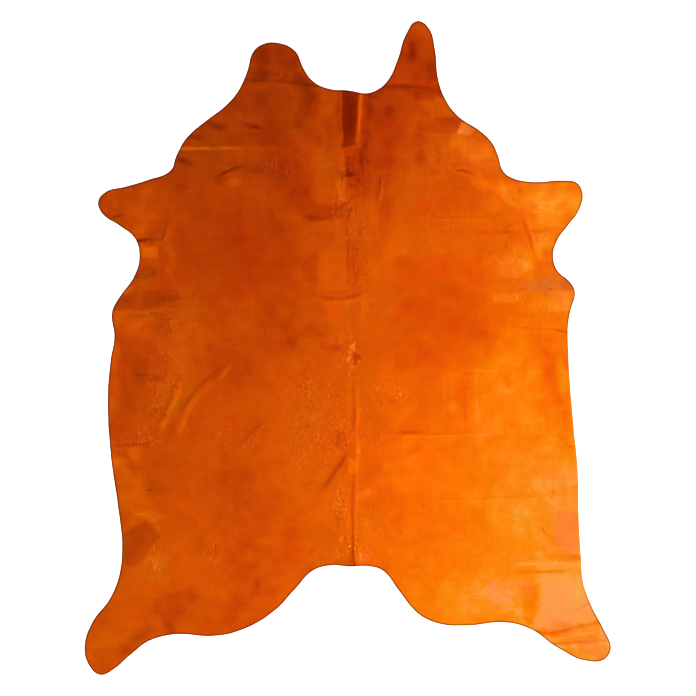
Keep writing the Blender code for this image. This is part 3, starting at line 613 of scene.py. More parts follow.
AREAS = in_metres((4, 5), (
    # name, tone, warmth, fading, how wide its border fades, corners in order
    ("left nape", -0.06, -0.3, 0, 30,
     ((-293, 800), (-214, 791), (-176, 712), (-158, 628), (-228, 618), (-290, 670), (-330, 740))),
    ("withers hook", -0.12, -0.6, 0, 26,
     ((-202, 541), (-160, 579), (-132, 561), (-118, 500), (-34, 500), (-40, 470), (-132, 440), (-174, 471))),
    ("right neck wedge", -0.1, -0.4, 0, 12,
     ((237, 797), (372, 808), (402, 791), (383, 754), (325, 749), (246, 763))),
    ("right shoulder corner", 0.24, 0.2, 0.3, 8, ((398, 792), (446, 764), (424, 745), (381, 753))),
    ("beside the pleat", 0.02, 0.2, 0, 16, ((-97, 891), (-48, 889), (-46, 705), (-74, 700), (-99, 803))),
    ("right foreleg", 0.08, 0.1, 0.02, 14,
     ((595, 570), (608, 591), (828, 591), (836, 546), (808, 448), (755, 399), (722, 350), (722, 301), (666, 304),
      (630, 423), (608, 472))),
    ("right elbow, dull", -0.04, 0.6, 0.16, 20,
     ((598, 229), (638, 238), (679, 244), (725, 256), (755, 241), (766, 218), (714, 197), (638, 197), (603, 210))),
    ("behind the right elbow", 0.08, 0.1, 0.05, 7, ((505, 187), (599, 193), (601, 161), (511, 156))),
    ("right elbow, pale", 0.06, 0.1, 0.14, 12, ((700, 196), (800, 204), (795, 150), (772, 128), (704, 126))),
    ("right armpit", 0.07, 0, 0.07, 14, ((526, 303), (608, 311), (652, 285), (591, 242), (530, 248))),
    ("right ribs, upper", -0.04, -0.1, 0, 30,
     ((305, 579), (375, 605), (412, 600), (435, 570), (462, 530), (462, 485), (330, 479))),
    ("left elbow", -0.1, 0, 0, 10, ((-715, 203), (-599, 205), (-586, 168), (-657, 143), (-713, 145))),
    ("left elbow, outer", 0.01, 0.4, 0, 10, ((-785, 200), (-726, 206), (-722, 152), (-800, 152))),
    ("under the left armpit", -0.14, 0.7, 0, 12, ((-730, 276), (-676, 289), (-670, 252), (-713, 238), (-754, 242))),
    ("left stifle", -0.13, 0.3, 0, 12,
     ((-783, -648), (-746, -624), (-708, -606), (-684, -628), (-654, -656), (-693, -698), (-717, -749),
      (-755, -770), (-783, -754))),
    ("left thigh", -0.07, -0.1, 0, 20,
     ((-687, -880), (-629, -861), (-550, -838), (-521, -875), (-564, -926), (-609, -954), (-588, -1005),
      (-640, -1005), (-652, -954), (-680, -917))),
    ("spine, pale panel", 0.05, 0, 0, 10, ((-104, 334), (-7, 334), (-2, 203), (-71, 203), (-100, 250))),
    ("under the back crossing", 0.06, 0, 0, 10,
     ((-81, 166), (8, 168), (-15, 119), (-20, 72), (-67, 77), (-71, 119))),
    ("right ribs, smooth", -0.03, -0.35, 0, 12, ((167, 324), (465, 324), (503, 63), (335, -72), (167, -68))),
    ("right ribs, block", -0.01, -0.6, 0, 10, ((372, -105), (423, -105), (423, -184), (414, -219), (374, -180))),
    ("right belly panel", 0.04, -0.2, 0, 12, ((440, -79), (662, -79), (696, -306), (436, -306))),
    ("right belly, red", -0.05, -0.1, 0, 30, ((688, -7), (760, -7), (782, -264), (739, -264), (696, -135))),
    ("right stifle, worn", -0.03, 0, 0.24, 12,
     ((718, -584), (782, -563), (814, -606), (818, -726), (782, -734), (741, -700), (716, -650))),
    ("right flank, worn", 0, 0, 0.12, 30, ((688, -417), (816, -408), (816, -614), (773, -562), (688, -571))),
    ("tail root, pale", 0.06, -0.3, 0.14, 8,
     ((41, -727), (54, -715), (70, -712), (83, -725), (79, -741), (62, -748), (50, -754), (41, -745))),
    ("right hock", 0.02, -0.2, 0.27, 14,
     ((679, -819), (812, -800), (837, -862), (872, -947), (816, -961), (705, -992), (652, -977), (672, -905))),
    ("right thigh, pale", 0.01, -0.4, 0.12, 20,
     ((482, -806), (662, -819), (649, -862), (585, -887), (525, -905), (474, -870))),
    ("right thigh, dark", -0.07, 0, 0, 14, ((611, -836), (671, -823), (662, -905), (649, -966), (611, -947))),
    # The pleat and the areas at its foot are painted shade: the dark band of the flank that faces away from the
    # softbox, and the shade where its ridge runs out below.
    ("pleat", -0.33, -1.0, 0, 6, ((-18, 703), (-18, 918), (40, 918), (31, 800), (22, 706))),
    ("pleat's foot", -0.11, -0.8, 0, 8, ((-12, 700), (48, 700), (56, 640), (56, 565), (20, 590), (-6, 598))),
    ("pleat's foot, core", -0.14, -0.2, 0, 10, ((-11, 668), (30, 672), (24, 604), (-8, 600))),
    ("beside the right foreleg", 0.11, 0, 0.02, 18, ((530, 590), (592, 572), (604, 480), (570, 498), (535, 530))),
    ("right foot", -0.01, 0.4, 0.06, 14, ((825, -1028), (910, -1024), (925, -1060), (880, -1092), (820, -1085))),
    ("left armpit", 0.14, 0.1, 0, 12, ((-720, 352), (-664, 356), (-660, 315), (-720, 318))),
    ("scar", -0.26, -0.8, 0, 6,
     ((15, -13), (27, -18), (44, -28), (46, -40), (32, -42), (29, -58), (23, -58), (21, -43), (14, -40))),
    ("scar's light", 0.26, 0, 0.1, 5,
     ((15, 12), (24, 24), (28, 17), (25, 4), (29, -11), (22, -10), (18, -1), (8, -4), (8, 6))),
    ("rump, pale corner", 0.08, 0.1, 0.04, 8, ((26, -535), (34, -505), (81, -486), (86, -501), (64, -531))),
    ("left chest, pale band", 0.05, 0, 0, 12, ((-838, 135), (-760, 135), (-745, 105), (-838, 98))),
    ("right cheek's root", -0.13, -0.5, 0, 12, ((225, 900), (290, 897), (310, 884), (300, 868), (235, 868))),
    # Painted shade along the pleat's left edge.
    ("pleat's left edge", -0.1, 0, 0, 12, ((-38, 912), (-12, 912), (-12, 750), (-32, 750))),
    # Painted highlight along the lit side of the left shoulder crease.
    ("left shoulder crease", 0.1, 0.2, 0, 8, ((-612, 707), (-545, 706), (-520, 698), (-545, 690), (-614, 688))),
    ("loin, by the spine", -0.12, 0, 0, 14, ((-40, -285), (-6, -280), (-2, -345), (-20, -360), (-45, -330))),
    ("spine, pale knot", 0.12, 0, 0, 7, ((2, -385), (31, -390), (31, -440), (0, -440))),
    # Painted shade round the pleat's foot and at its top.
    ("pleat's foot, right", -0.09, -0.2, 0, 12, ((24, 715), (68, 715), (72, 650), (28, 650))),
    ("pleat's foot, low", -0.12, -0.2, 0, 14, ((-30, 620), (36, 620), (40, 560), (-10, 556), (-26, 590))),
    ("pleat's top, left", -0.08, 0, 0, 8, ((-18, 915), (4, 915), (4, 868), (-18, 868))),
    ("withers, lower left", -0.09, -0.2, 0, 20, ((-255, 515), (-200, 535), (-180, 505), (-235, 470))),
    ("neck edge, right", -0.12, 0, 0, 12, ((88, 905), (125, 915), (122, 870), (92, 868))),
    # Painted shade in the left armpit crease, and beside it painted light that lifts the shade of the fold.
    ("left armpit crease", -0.12, 0, 0, 6, ((-748, 380), (-704, 384), (-704, 368), (-742, 362))),
    ("beside the left armpit", 0.11, 0, 0, 8, ((-682, 394), (-650, 394), (-648, 368), (-682, 366))),
    ("left of the scar", -0.09, -0.2, 0, 12, ((-105, 18), (-15, 14), (-18, -12), (-90, -10))),
    ("spine, rump, red", 0, -0.4, 0, 8, ((4, -465), (27, -465), (27, -585), (4, -585))),
    ("left armpit, inner", 0.1, 0, 0, 16, ((-680, 325), (-645, 325), (-640, 285), (-672, 285))),
    ("left buttock, dull", -0.1, -0.2, 0, 20, ((-350, -805), (-318, -800), (-300, -865), (-345, -875))),
    ("right neck, dull", -0.09, 0, 0, 12, ((255, 830), (290, 832), (290, 806), (255, 804))),
    ("beside the pleat's end", -0.09, 0, 0, 12, ((40, 735), (68, 735), (66, 708), (42, 708))),
    ("left withers, dull", -0.08, 0, 0, 20, ((-310, 660), (-268, 656), (-268, 634), (-310, 636))),
    ("left nape, dull", -0.08, 0, 0, 16, ((-260, 965), (-212, 960), (-212, 935), (-255, 930))),
    ("right nape crease, red", 0, -0.6, 0, 20, ((150, 925), (290, 922), (290, 898), (150, 900))),
    ("withers, by the edge", -0.07, 0, 0, 12, ((-65, 640), (-32, 640), (-32, 560), (-60, 560))),
))
PATCH_WANDER = (
    # length, reach
    (0.110, 0.024),
    (0.034, 0.010),
)
PATCHINESS = 0.7  # how much the strength of a patch varies within it
CRISP = 2.5  # marks at least this crisp follow a pressed fold, and run as true as it does
MARKS_AND_FOLD_SHADING = in_metres((2, 3, 7), (
    # name, tone, half width on the left and the right, crispness, strength at the start and the end, line
    # Marks along the folds, creases, wrinkles, the spine and the pleat are mostly painted light: the dark ones paint
    # the shade on the flank that faces away from the softbox, partly with darker dye in the crease, and the pale ones
    # paint the highlight on the lit crest or flank.
    ("left nape crease", -0.1, 10, 7, 1, 1, 1, ((-365, 937), (-300, 936), (-230, 932), (-110, 914))),
    ("right nape crease", -0.14, 12, 20, 1, 1, 1, ((130, 915), (230, 915), (290, 905), (335, 885))),
    ("left neck wrinkle", -0.15, 12, 9, 1.5, 0, 0, ((-384, 791), (-350, 778), (-325, 771), (-290, 766))),
    ("left shoulder, upper wedge", -0.15, 18, 14, 1, 1, 0, ((-585, 740), (-540, 738), (-490, 730))),
    ("left shoulder, lower wedge", -0.12, 16, 18, 1, 1, 0, ((-612, 668), (-565, 650), (-520, 633))),
    # Painted highlight on the lit crest of the left shoulder crease.
    ("left shoulder crease", 0.2, 8, 11, 1, 1, 0, ((-605, 699), (-500, 699), (-400, 700), (-350, 700))),
    ("left shoulder crease, shade", -0.05, 45, 4, 1, 0, 0, ((-470, 712), (-180, 711))),
    ("left shoulder wrinkle", -0.17, 9, 6, 1, 0.6, 0, ((-450, 602), (-420, 618), (-385, 633), (-342, 637))),
    ("pleat's foot, upper", -0.2, 4, 4, 1, 0, 0, ((-11, 666), (12, 667))),
    ("withers streak", -0.13, 10, 6, 1, 0, 0, ((113, 620), (108, 560), (97, 500))),
    ("withers, pale streak", 0.1, 6, 6, 1, 0, 0, ((123, 605), (119, 545), (108, 485))),
    ("withers hook", -0.13, 20, 12, 1, 0, 0.5, ((-165, 462), (-120, 452), (-60, 454), (-28, 458))),
    ("withers crack", -0.32, 4.5, 4.5, 1, 0, 0, ((-26, 465), (-21, 493), (3, 511), (17, 524), (40, 540))),
    ("withers crack, right", -0.26, 7, 6, 1, 0, 0, ((2, 440), (8, 472), (15, 488), (30, 498))),
    ("withers crack, upper", -0.42, 4, 4, 1, 0, 1, ((-24, 588), (-10, 603), (4, 607))),
    ("back crease", -0.12, 13, 6, 1, 0, 0, ((-140, 190), (-95, 178), (-48, 170), (0, 176), (83, 205))),
    ("back crease, pale", 0.05, 5, 14, 1, 0, 0, ((-50, 164), (0, 162), (40, 178), (90, 203))),
    ("spine, shoulders", -0.07, 22, 20, 4, 0, 0, ((24, 190), (22, 430))),
    ("spine, shoulders, line", -0.1, 4, 4, 1, 0, 0, ((-2, 230), (-1, 350), (0, 460))),
    ("spine, shoulders, right", 0.05, 4, 4, 1, 0, 0, ((46, 230), (44, 400))),
    ("spine, loin", -0.15, 5, 5, 1, 0, 0, ((21, -365), (21, -250), (21, -80))),
    ("spine, loin, left", -0.12, 4, 5, 1, 0, 0, ((5, -372), (9, -330), (6, -285))),
    ("spine, loin, pale", 0.11, 8, 10, 2, 0, 0, ((33, -440), (36, -380), (37, -310))),
    ("spine, pale rim", 0.08, 5, 7, 1, 0, 0, ((36, -330), (37, -220), (37, -80))),
    ("spine, pale left rim", 0.08, 4, 4, 1, 0, 0, ((3, -290), (1, -90))),
    ("spine, rump", -0.12, 6, 5, 1, 1, 0, ((21, -770), (18, -650), (15, -550), (20, -420))),
    ("spine, rump, left rim", 0.07, 4, 4, 1, 0, 0, ((5, -700), (2, -520))),
    # Painted shade on the tuck's flank that faces away from the light.
    ("tuck", -0.2, 16, 17, 1, 0, 0, ((2, -345), (-25, -402), (-55, -449), (-108, -517))),
    ("tuck's root", -0.12, 10, 12, 1, 0, 0, ((4, -352), (-15, -392), (-35, -425))),
    ("scar's light", 0.1, 14, 10, 1, 0, 0, ((0, -18), (-22, -55), (-48, -82))),
    ("scar's upper light", 0.06, 6, 6, 1, 1, 0, ((22, 12), (45, 35), (65, 70))),
    ("right belly crease", -0.05, 7, 3, 1, 0, 0, ((90, -301), (170, -299), (260, -301), (440, -301))),
    ("right belly crease, thick", -0.1, 14, 3, 2, 0, 0, ((165, -298), (266, -298))),
    ("right belly crease, pale", 0.07, 3, 7, 1, 0, 0, ((90, -306), (220, -309), (420, -306), (600, -308))),
    ("right flank crease", -0.03, 5, 6, 1, 0, 0, ((185, -535), (300, -531), (450, -525), (600, -519), (745, -514))),
    ("right chest crease", -0.09, 4, 3, 1, 0, 0, ((275, 458), (405, 457))),
    ("right chest crease, pale", 0.06, 3, 4, 1, 0, 0, ((285, 451), (410, 450))),
    ("right foreleg crease, upper", -0.08, 4, 4, 1, 0, 0, ((645, 466), (690, 469), (730, 468))),
    ("right foreleg crease", -0.15, 6, 6, 1, 0, 0, ((630, 404), (660, 408), (690, 404))),
    ("right foreleg crease, outer", -0.09, 4, 4, 1, 0, 1, ((680, 413), (760, 419))),
    ("right armpit band", -0.07, 13, 13, 1, 0, 0, ((430, 404), (520, 404), (625, 400))),
    ("right armpit band, upper", -0.08, 10, 8, 1, 0, 0, ((540, 404), (570, 430), (608, 441))),
    ("right armpit fold", -0.11, 8, 12, 1, 0, 0, ((601, 472), (621, 426), (636, 390), (648, 350), (661, 303))),
    ("right armpit arc", -0.08, 5, 5, 1, 0, 0, ((556, 340), (560, 378), (592, 396))),
    ("right shoulder wrinkle", -0.24, 5, 5, 1, 0, 0, ((368, 615), (398, 622), (420, 616), (445, 603))),
    ("right shoulder wrinkle, pale", 0.07, 6, 4, 1, 0, 0, ((366, 626), (400, 632), (432, 624))),
    ("right shoulder, pale stripe", 0.1, 5, 5, 1, 0, 0, ((415, 668), (470, 672), (528, 670))),
    ("right shoulder, dark stripe", -0.09, 5, 5, 1, 0, 0, ((450, 655), (528, 657))),
    ("right elbow mark", -0.13, 5, 5, 1, 0, 0, ((592, 212), (612, 206), (636, 202))),
    ("right elbow dot", -0.14, 6, 6, 1, 0, 0, ((698, 206), (716, 206))),
    ("right side crease", -0.08, 3, 4, 1, 0, 0, ((555, 74), (610, 71), (665, 66))),
    ("right side crease, edge", -0.18, 6, 6, 1, 0, 1, ((715, 61), (790, 53))),
    ("right side crease, pale", 0.08, 5, 5, 1, 0, 0, ((665, 73), (755, 72))),
    ("right ribs, level line", 0.05, 3, 12, 1, 0, 0, ((335, -78), (440, -76), (605, -72))),
    ("right ribs, upright line", 0.05, 5, 5, 1, 0, 0, ((338, -300), (339, -200), (336, -80))),
    ("right ribs, dark upright", -0.07, 7, 7, 1, 0, 0, ((413, -310), (413, -220), (404, -110))),
    ("right ribs, pale upright", 0.06, 10, 6, 1, 0, 0, ((456, -290), (453, -190), (450, -70))),
    ("right belly sweep", -0.03, 20, 28, 1, 0, 0, ((672, -20), (720, -120), (752, -210), (778, -310))),
    ("right flank mark", -0.24, 5, 5, 1, 0, 0.5, ((764, -341), (786, -347))),
    ("worn patch, outline", -0.06, 5, 5, 1, 0, 1, ((710, -636), (728, -690), (760, -716), (805, -728))),
    ("worn patch, notch", -0.17, 6, 5, 1, 0, 0, ((675, -620), (690, -646), (708, -656))),
    ("worn patch, foot", -0.05, 8, 7, 1, 0, 1, ((755, -733), (830, -735))),
    ("right stifle, pale line", 0.1, 6, 9, 1, 0, 1, ((562, -766), (600, -755), (700, -753), (820, -753))),
    ("right stifle, dark line", -0.1, 8, 8, 1, 0, 0, ((575, -783), (700, -780), (790, -780))),
    ("right hock wrinkle", -0.09, 4, 3, 1, 0, 1, ((783, -918), (815, -905), (850, -893))),
    ("right hock wrinkle, low", -0.07, 3, 3, 1, 0, 1, ((800, -927), (860, -908))),
    ("right shin wrinkle, upper", -0.06, 4, 5, 1, 0, 1, ((745, -991), (800, -975), (890, -956))),
    ("right shin wrinkle", -0.16, 5, 6, 1, 1, 0, ((662, -992), (700, -1000), (760, -986), (805, -975))),
    ("right foot wrinkle", -0.1, 5, 4, 1, 1, 0, ((690, -1036), (760, -1031), (860, -1023))),
    # Painted shade in the left armpit crease.
    ("left armpit crease", -0.27, 11, 7, 1, 1, 0.2, ((-745, 374), (-715, 379), (-670, 382))),
    ("left armpit, shade", -0.03, 16, 4, 1, 0, 0, ((-705, 380), (-645, 387))),
    ("left armpit, upright", -0.1, 6, 4, 1, 1, 0, ((-648, 386), (-636, 425), (-628, 458))),
    ("left forefoot mark", -0.22, 6, 6, 1, 1, 0, ((-818, 457), (-795, 462), (-768, 469))),
    ("left elbow, core", -0.06, 14, 12, 2, 0, 0, ((-700, 165), (-650, 172), (-590, 174), (-560, 170))),
    ("left elbow crease", 0.1, 5, 12, 1, 1, 0, ((-830, 126), (-750, 126), (-650, 131), (-555, 138))),
    ("left side mark", -0.08, 5, 5, 1, 0, 0, ((-690, 103), (-575, 100))),
    ("left flank fold", -0.07, 11, 10, 1, 0.5, 0.4,
     ((-460, -78), (-494, -109), (-537, -151), (-570, -204), (-596, -234), (-616, -280), (-637, -345))),
    ("left flank fold, pale", 0.04, 14, 16, 1, 0, 0,
     ((-400, -35), (-438, -100), (-494, -144), (-547, -200), (-580, -273), (-600, -325))),
    ("left flank fold, outer", -0.1, 7, 6, 1, 0, 0, ((-592, -98), (-612, -155), (-630, -205), (-652, -260))),
    ("left flank fold, outer, pale", 0.11, 13, 16, 1, 0, 0,
     ((-548, -85), (-577, -128), (-593, -168), (-616, -214), (-629, -247), (-643, -273), (-672, -335))),
    ("left flank, level mark", -0.12, 5, 5, 1, 0, 0, ((-760, -97), (-683, -93))),
    ("left belly crease", -0.11, 6, 4, 1, 0, 0, ((-815, -341), (-740, -336), (-672, -334))),
    ("left belly nick", -0.12, 5, 5, 1, 0, 0, ((-812, -358), (-788, -382))),
    ("left loin wrinkle", -0.12, 6, 5, 1, 0, 0, ((-278, -240), (-320, -277), (-350, -308), (-370, -338))),
    ("left loin wrinkle, pale", 0.12, 6, 6, 1, 0, 0, ((-352, -336), (-368, -356))),
    ("left thigh dot", -0.15, 6, 6, 1, 0, 0, ((-708, -498), (-682, -497))),
    ("left stifle, upper line", 0.12, 4, 4, 1, 0, 0, ((-765, -583), (-720, -580), (-675, -580))),
    ("left stifle, lower line", 0.08, 5, 5, 1, 0, 0, ((-775, -623), (-740, -601))),
    ("left stifle, pale rim", 0.11, 9, 9, 1, 0, 0, ((-690, -592), (-668, -618), (-654, -652))),
    ("left hock line", 0.11, 4, 4, 1, 0, 0, ((-708, -802), (-646, -804))),
    ("left loin, level line", -0.05, 5, 5, 1, 0, 0, ((-270, -605), (-120, -607))),
    # Painted highlight on the pleat's lit crest, and painted shade in its core.
    ("pleat's crest", 0.24, 6, 9, 1, 0, 1, ((36, 706), (40, 790), (47, 905))),
    ("pleat's core", -0.09, 12, 18, 2, 0, 1, ((0, 704), (2, 780), (0, 870))),
    ("withers edge", -0.1, 4, 3, 1, 1, 1, ((-20, 600), (-24, 550), (-28, 490))),
    ("withers edge, pale", 0.14, 4, 4, 1, 0, 0, ((-27, 570), (-28, 540), (-28, 490))),
    ("spine, edge by the foot", 0.06, 4, 4, 1, 0, 0, ((-18, 700), (-18, 650), (-17, 605))),
    ("right foot, pale", 0.07, 6, 7, 1, 0, 1, ((690, -1018), (760, -1012), (880, -990))),
    ("right foot, pale, low", 0.07, 4, 5, 1, 0, 0, ((705, -1050), (790, -1045))),
    ("right shin, pale", 0.06, 5, 6, 1, 0, 1, ((750, -975), (800, -958), (880, -940))),
    ("withers dot", -0.24, 4, 4, 1, 0.5, 0.5, ((55, 530), (54, 540))),
    ("spine, rump, foot", -0.26, 6, 4, 1.5, 1, 0, ((21.5, -775), (21.5, -735), (19, -690))),
    ("spine, rump, right rim", 0.06, 4, 5, 1, 0, 0, ((27, -670), (26, -540))),
    ("rump, outer spot", -0.14, 6, 6, 1, 0, 0, ((259, -545), (272, -562))),
    ("rump, right spot", -0.14, 8, 7, 1, 0, 0, ((186, -640), (194, -655))),
    ("right flank nick", -0.12, 4, 4, 1, 0, 0.6, ((716, -468), (719, -490), (720, -506))),
    ("right flank, pale nick", 0.1, 5, 5, 1, 0, 0, ((632, -492), (633, -510))),
    ("right stifle, dots", -0.09, 4, 4, 1, 0, 0, ((612, -702), (622, -713))),
    ("left shoulder crease, faint", 0.05, 6, 8, 1, 0, 0, ((-420, 700), (-300, 699), (-200, 696))),
    ("tail root, dark line", -0.09, 6, 6, 1, 0, 0, ((32, -690), (34, -740))),
    ("pleat's foot, lower", -0.2, 5, 5, 1, 0.5, 0, ((-4, 604), (14, 605))),
    ("pleat's left shade", -0.1, 13, 13, 1, 0, 0, ((-40, 870), (-38, 800), (-36, 720))),
    ("left flank fold, pale top", 0.1, 13, 14, 1, 0, 0, ((-400, -45), (-432, -90), (-458, -118))),
    ("left flank fold, pale foot", 0.11, 12, 14, 1, 0, 0, ((-545, -205), (-570, -255), (-598, -320))),
    ("pleat's end", -0.1, 6, 6, 1, 0.5, 0.5, ((-10, 702), (20, 702))),
))
AREA_PATCHINESS = 0.6  # how much of a patch's unevenness an area keeps
CRISP_UNEVENNESS = 0.15  # how much of a mark's unevenness a crisp one keeps
PEBBLE_CRISPNESS = 2
PEBBLES = in_metres((1, 2, 3, 4), (
    # name, x, y, half length, half width, turn, pebbling, streaks
    ("loin, left", -110, -270, 250, 150, 90, 0.8, 0.3),
    ("rump, left of the spine", -20, -590, 190, 50, 90, 1.0, 1.0),
    ("rump, right of the spine", 100, -620, 170, 80, 90, 0.4, 0.5),
    ("spine, shoulders", 35, 330, 300, 80, 90, 0.7, 1.0),
    ("withers, right", 110, 590, 160, 70, 80, 0.3, 1.0),
    ("left withers", -240, 640, 90, 60, 0, 0.8, 0),
    ("left nape", -240, 940, 90, 30, 0, 0.8, 0.3),
    ("left neck", -340, 790, 80, 40, 0, 0.3, 0.8),
    ("left flank", -650, -120, 180, 100, 70, 0.9, 0.5),
    ("left belly", -720, -325, 100, 45, 0, 1.0, 0.5),
    ("left side", -640, 80, 110, 70, 0, 0.7, 0.2),
    ("left hock", -660, -750, 90, 60, 90, 0.9, 0.6),
    ("left thigh", -466, -726, 55, 45, 90, 1.9, 0.8),
    ("right shoulder", 370, 700, 150, 70, 0, 0.1, 0.9),
    ("right armpit", 560, 330, 130, 90, 0, 0.5, 0.3),
    ("right elbow", 640, 170, 110, 70, 0, 0.5, 0.3),
    ("right loin", 130, -160, 120, 80, 0, 0.7, 0),
    ("loin, by the spine", 0, -330, 90, 60, 90, 1.0, 0.4),
    ("tail root", 10, -710, 110, 50, 0, 1.3, 1.2),
    ("pleat's foot", 0, 570, 150, 55, 90, 0.7, 1.2),
    ("around the scar", 0, -30, 120, 60, 90, 1.3, 0.6),
    ("left loin", -400, -310, 110, 60, 0, 0.6, 0.3),
    ("right side", 640, 300, 280, 110, 90, 0.35, 0.3),
    ("right neck and ribs", 330, 560, 280, 190, 90, 0.3, 0.4),
    ("beside the tuck", -120, -440, 80, 36, 80, 0.9, 0.7),
    ("loin, far left", -200, -200, 90, 50, 90, 1.0, 0.2),
    ("left ribs, low", -200, 0, 40, 40, 0, 0.4, 0),
    ("withers", -20, 500, 120, 50, 90, 0.8, 0.8),
    ("right foreleg's root", 610, 460, 70, 30, 0, 0.5, 0.4),
    ("right hind foot", 820, -920, 60, 50, 0, 0.7, 0.3),
    ("right loin, by the spine", 110, -340, 60, 40, 90, 0.9, 0.3),
))


def attributes_of(points):
    """The dye and the grain at each point. Tone runs from dark 0 to light 1 and warmth from red to yellow."""
    tone = TONE_MIDDLE + points @ np.array(TONE_AND_LIGHT_SLOPE)
    warmth, fading, pebbling, streaks = np.zeros((4, len(points)))
    strayed = points + wander(points, PATCH_WANDER)
    uneven = 1 + PATCHINESS * noise_at(points, UNEVEN_LENGTH)[:, 1]
    for *place, tone_change, warmer, faded in PATCHES:
        share = mound(strayed, *place) * uneven
        tone += tone_change * share
        warmth += warmer * share
        fading += faded * share
    for _, *place, pebbled, streaked in PEBBLES:
        share = mound(strayed, *place, PEBBLE_CRISPNESS)
        pebbling = np.maximum(pebbling, pebbled * share)
        streaks = np.maximum(streaks, streaked * share)
    strayed = points + wander(points, LINE_WANDER)
    for _, tone_change, warmer, faded, border, corners in AREAS:
        share = fade(0.5 - inside_of(strayed, corners) / border) * uneven**AREA_PATCHINESS
        tone += tone_change * share
        warmth += warmer * share
        fading += faded * share
    uneven = 1 + UNEVENNESS * noise_at(points, UNEVEN_LENGTH)[:, 0]
    for _, change, left, right, crispness, start, end, line in MARKS_AND_FOLD_SHADING:
        line = curve_through(line, CREST_STEP)
        at = points if crispness > CRISP else strayed
        near = near_to(at, line, max(left, right) + FOLD_END)
        gap, on_left, share, past = beside(at[near], line)
        profile = fade((gap / np.where(on_left, left, right)) ** crispness)
        strength = change * uneven[near] ** (CRISP_UNEVENNESS if crispness > CRISP else 1)
        tone[near] += strength * profile * taper(share, start, end) * fade(past / FOLD_END)
    return {"tone": tone, "warmth": warmth, "fading": np.clip(fading, 0, 1), "pebbling": pebbling, "streaks": streaks}


# The skin itself: one sheet of six ounce leather. Its upper edge is a little rounded where the knife went in. The net
# of the grain side is fine, and finest along folds, marks and edge; the flesh side shares its rim and its folds.
THICKNESS = 0.0024
GRAIN_STEP = 0.0084
FLESH_STEP = 0.0170
MARGINS = (0.0024, 0.0048, 0.0072, 0.0120, 0.018)  # rows inside the cut edge
CUT_MARGIN = 0.0032  # where inside the cut edge its dark line begins to fade
RAW_EDGE = 0.1  # how dark the edge itself is
EDGE_ROUND = 0.0006
EDGE_DROP = 0.0008  # how much thinner the skin is at its cut edge
LEAST_GAP = 0.0021
ROW_GAP = 0.004
LEAST_ROWS, MOST_ROWS = 2, 6  # rows of points down each flank of a fold
WIDE_MARK = 0.008  # marks wider than this get rows halfway down their flanks too
SHARP_BORDER = 0.015  # areas whose border fades faster than this get rows along it
CROWDED = 0.6  # how near, in steps of the net, a point of its plain rows may come to another
EDGE_CLEAR = 0.9  # how near the edge a point may come, as a share of the first margin
NET_TOLERANCE = 1e-7
INSIDE_ONLY = 1  # keeps only the triangles inside the outline
EDGE_LIT_SIDE = (
    # x, y, half length, half width, turn, crispness: where the dark edge line, partly painted shade, is left off on
    # the right side that faces the light
    0.820, -0.400, 0.560, 0.140, 90, 4,
)

edge_tree = kdtree.KDTree(len(edge))
for i, point in enumerate(edge):
    edge_tree.insert((*point, 0), i)
edge_tree.balance()


def strayed_row(row):
    """The row that wandering brings onto the given one."""
    return row - wander(row, LINE_WANDER)


def rows(step, marks):
    """Rows of points inside the skin, each with the least distance that its points keep from earlier ones."""
    for margin in MARGINS:
        yield edge + margin * inward, LEAST_GAP
    for _, _, left, right, _, _, straight, crest in FOLDS:
        line = curve_through(crest, CREST_STEP)
        side = to_left(np.gradient(line, axis=0))
        offsets = [0]
        for flank, sign in ((left, 1), (right, -1)):
            count = min(MOST_ROWS, max(LEAST_ROWS, round(flank / ROW_GAP)))
            offsets += [sign * flank * k / count for k in range(1, count + 1)]
        for offset in offsets:
            row = line + offset * side
            yield row if straight > PRESSED else strayed_row(row), LEAST_GAP
    for _, _, left, right, crispness, *_, mark in marks:
        line = curve_through(mark, CREST_STEP)
        side = to_left(np.gradient(line, axis=0))
        offsets = [0, left, -right]
        if max(left, right) > WIDE_MARK:
            offsets += [left * (1 - 0.5 / crispness), -right * (1 - 0.5 / crispness)]
        for offset in offsets:
            row = line + offset * side
            yield row if crispness > CRISP else strayed_row(row), LEAST_GAP
    for *_, border, corners in AREAS if marks else ():
        for start, end in zip(np.array(corners), np.roll(corners, -1, axis=0)):
            line = curve_through((start, end), CREST_STEP)
            side = to_left(np.gradient(line, axis=0))
            for offset in (-border / 2, border / 2) if border < SHARP_BORDER else ():
                yield strayed_row(line + offset * side), LEAST_GAP
    reach = np.abs(edge).max(axis=0)
    row_gap = step * math.sqrt(3) / 2
    for j in range(-int(reach[1] / row_gap), int(reach[1] / row_gap) + 1):
        x = np.arange(-reach[0], reach[0], step) + (j % 2) * step / 2
        yield np.stack([x, np.full(len(x), j * row_gap)], axis=1), CROWDED * step


